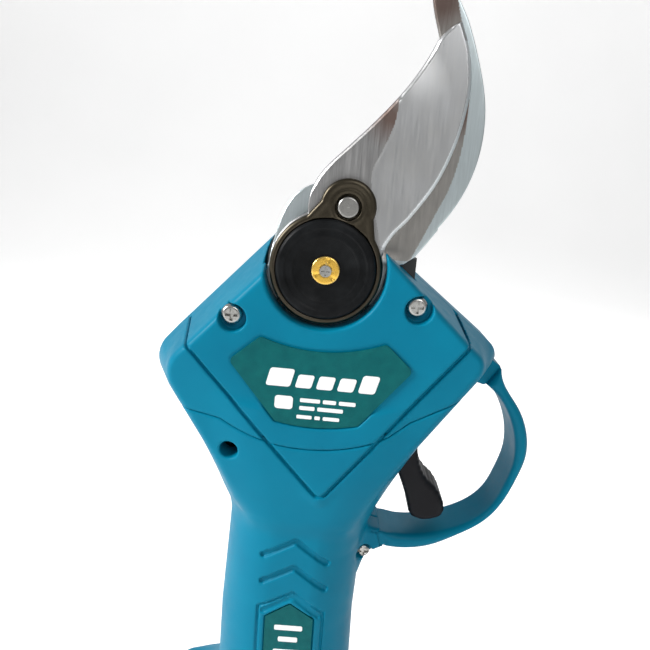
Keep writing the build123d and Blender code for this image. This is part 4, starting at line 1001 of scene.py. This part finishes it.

# the guard screw is bright; the three handle screws are painted near-black, a painted shade standing in for the
# shadow deep in their holes
HOLE_SHADE_BLACK = metal("screw_hole_shade_black", (0.016, 0.016, 0.016), (0.010, 0.010, 0.010), 0.45)
screw_z = face_places(nodes["handle_screws"])[2]
paint(nodes["handle_screws"], (HOLE_SHADE_BLACK,), np.where((screw_z > 140) & (screw_z < 160), 0, 1))


# ------------------------------------------------------------------ stage, light, camera
def cyclorama():
    """Pale floor that curves up into a backdrop, in metres."""
    rows = [(-4.0, 0.0)] + [(1.2 + 0.9 * sin(radians(a)), 0.9 - 0.9 * cos(radians(a))) for a in range(0, 91, 6)] + [
        (2.1, 5.0)]
    points = [(side, y, z) for side in (-5, 5) for y, z in rows]
    n = len(rows)
    quads = [(i, i + n, i + n + 1, i + 1) for i in range(n - 1)]
    mesh = bpy.data.meshes.new("floor")
    mesh.from_pydata(points, [], quads)
    floor = bpy.data.objects.new("floor", mesh)
    bpy.context.scene.collection.objects.link(floor)
    mesh.polygons.foreach_set("use_smooth", np.ones(len(quads), bool))
    m = Nodes("floor_paint")
    shade = m.mix(m.ramp(m.noise(300, 3), 0.3, 0.7), (0.88, 0.88, 0.88), (0.92, 0.92, 0.92))
    m.shader.inputs["Emission Color"].default_value = (1, 1, 1, 1)
    m.level(m.add("ShaderNodeLightPath").outputs["Is Camera Ray"], 0.12, 0.40, m.shader.inputs["Emission Strength"])
    mesh.materials.append(m.done(shade, Roughness=0.8))


def area_light(name, place, size, watts):
    """Square light, in metres and watts, aimed at the middle of the tool."""
    data = bpy.data.lights.new(name, "AREA")
    data.energy, data.size = watts, size
    light = bpy.data.objects.new(name, data)
    bpy.context.scene.collection.objects.link(light)
    light.location = place
    light.rotation_euler = (Vector((0.005, 0.0, 0.2)) - Vector(place)).to_track_quat("-Z", "Y").to_euler()


cyclorama()
area_light("key", (-0.98, -0.33, 0.78), 0.4, 17.5)
area_light("fill", (0.45, -1.1, 1.0), 0.7, 5)
area_light("rim", (0.3, 0.9, 1.0), 0.7, 4)

# white surroundings: brighter where the camera sees them than where they light the tool
world = bpy.data.worlds.new("studio")
world.use_nodes = True
sky = world.node_tree
sky.nodes["Background"].inputs[0].default_value = (1, 1, 1, 1)
brightness = sky.nodes.new("ShaderNodeMapRange")
brightness.inputs["To Min"].default_value = 0.32
brightness.inputs["To Max"].default_value = 0.93
sky.links.new(sky.nodes.new("ShaderNodeLightPath").outputs["Is Camera Ray"], brightness.inputs["Value"])
sky.links.new(brightness.outputs["Result"], sky.nodes["Background"].inputs[1])
bpy.context.scene.world = world
bpy.context.scene.view_settings.view_transform = "Standard"

# the photograph's camera, as solved from it: pitched down and rolled
pitch, roll = radians(15), radians(4.2)
level, up, forward = Vector((1, 0, 0)), Vector((0, sin(pitch), cos(pitch))), Vector((0, cos(pitch), -sin(pitch)))
across = cos(roll) * level + sin(roll) * up
above = cos(roll) * up - sin(roll) * level
camera_data = bpy.data.cameras.new("photo_camera")
camera_data.lens, camera_data.sensor_width = 33.23, 36
camera_data.clip_start = 0.01
camera = bpy.data.objects.new("photo_camera", camera_data)
bpy.context.scene.collection.objects.link(camera)
turn = Matrix((across, above, -forward)).transposed().to_4x4()
camera.matrix_world = Matrix.Translation((0.006146, -0.185, 0.2790)) @ turn
bpy.context.scene.camera = camera
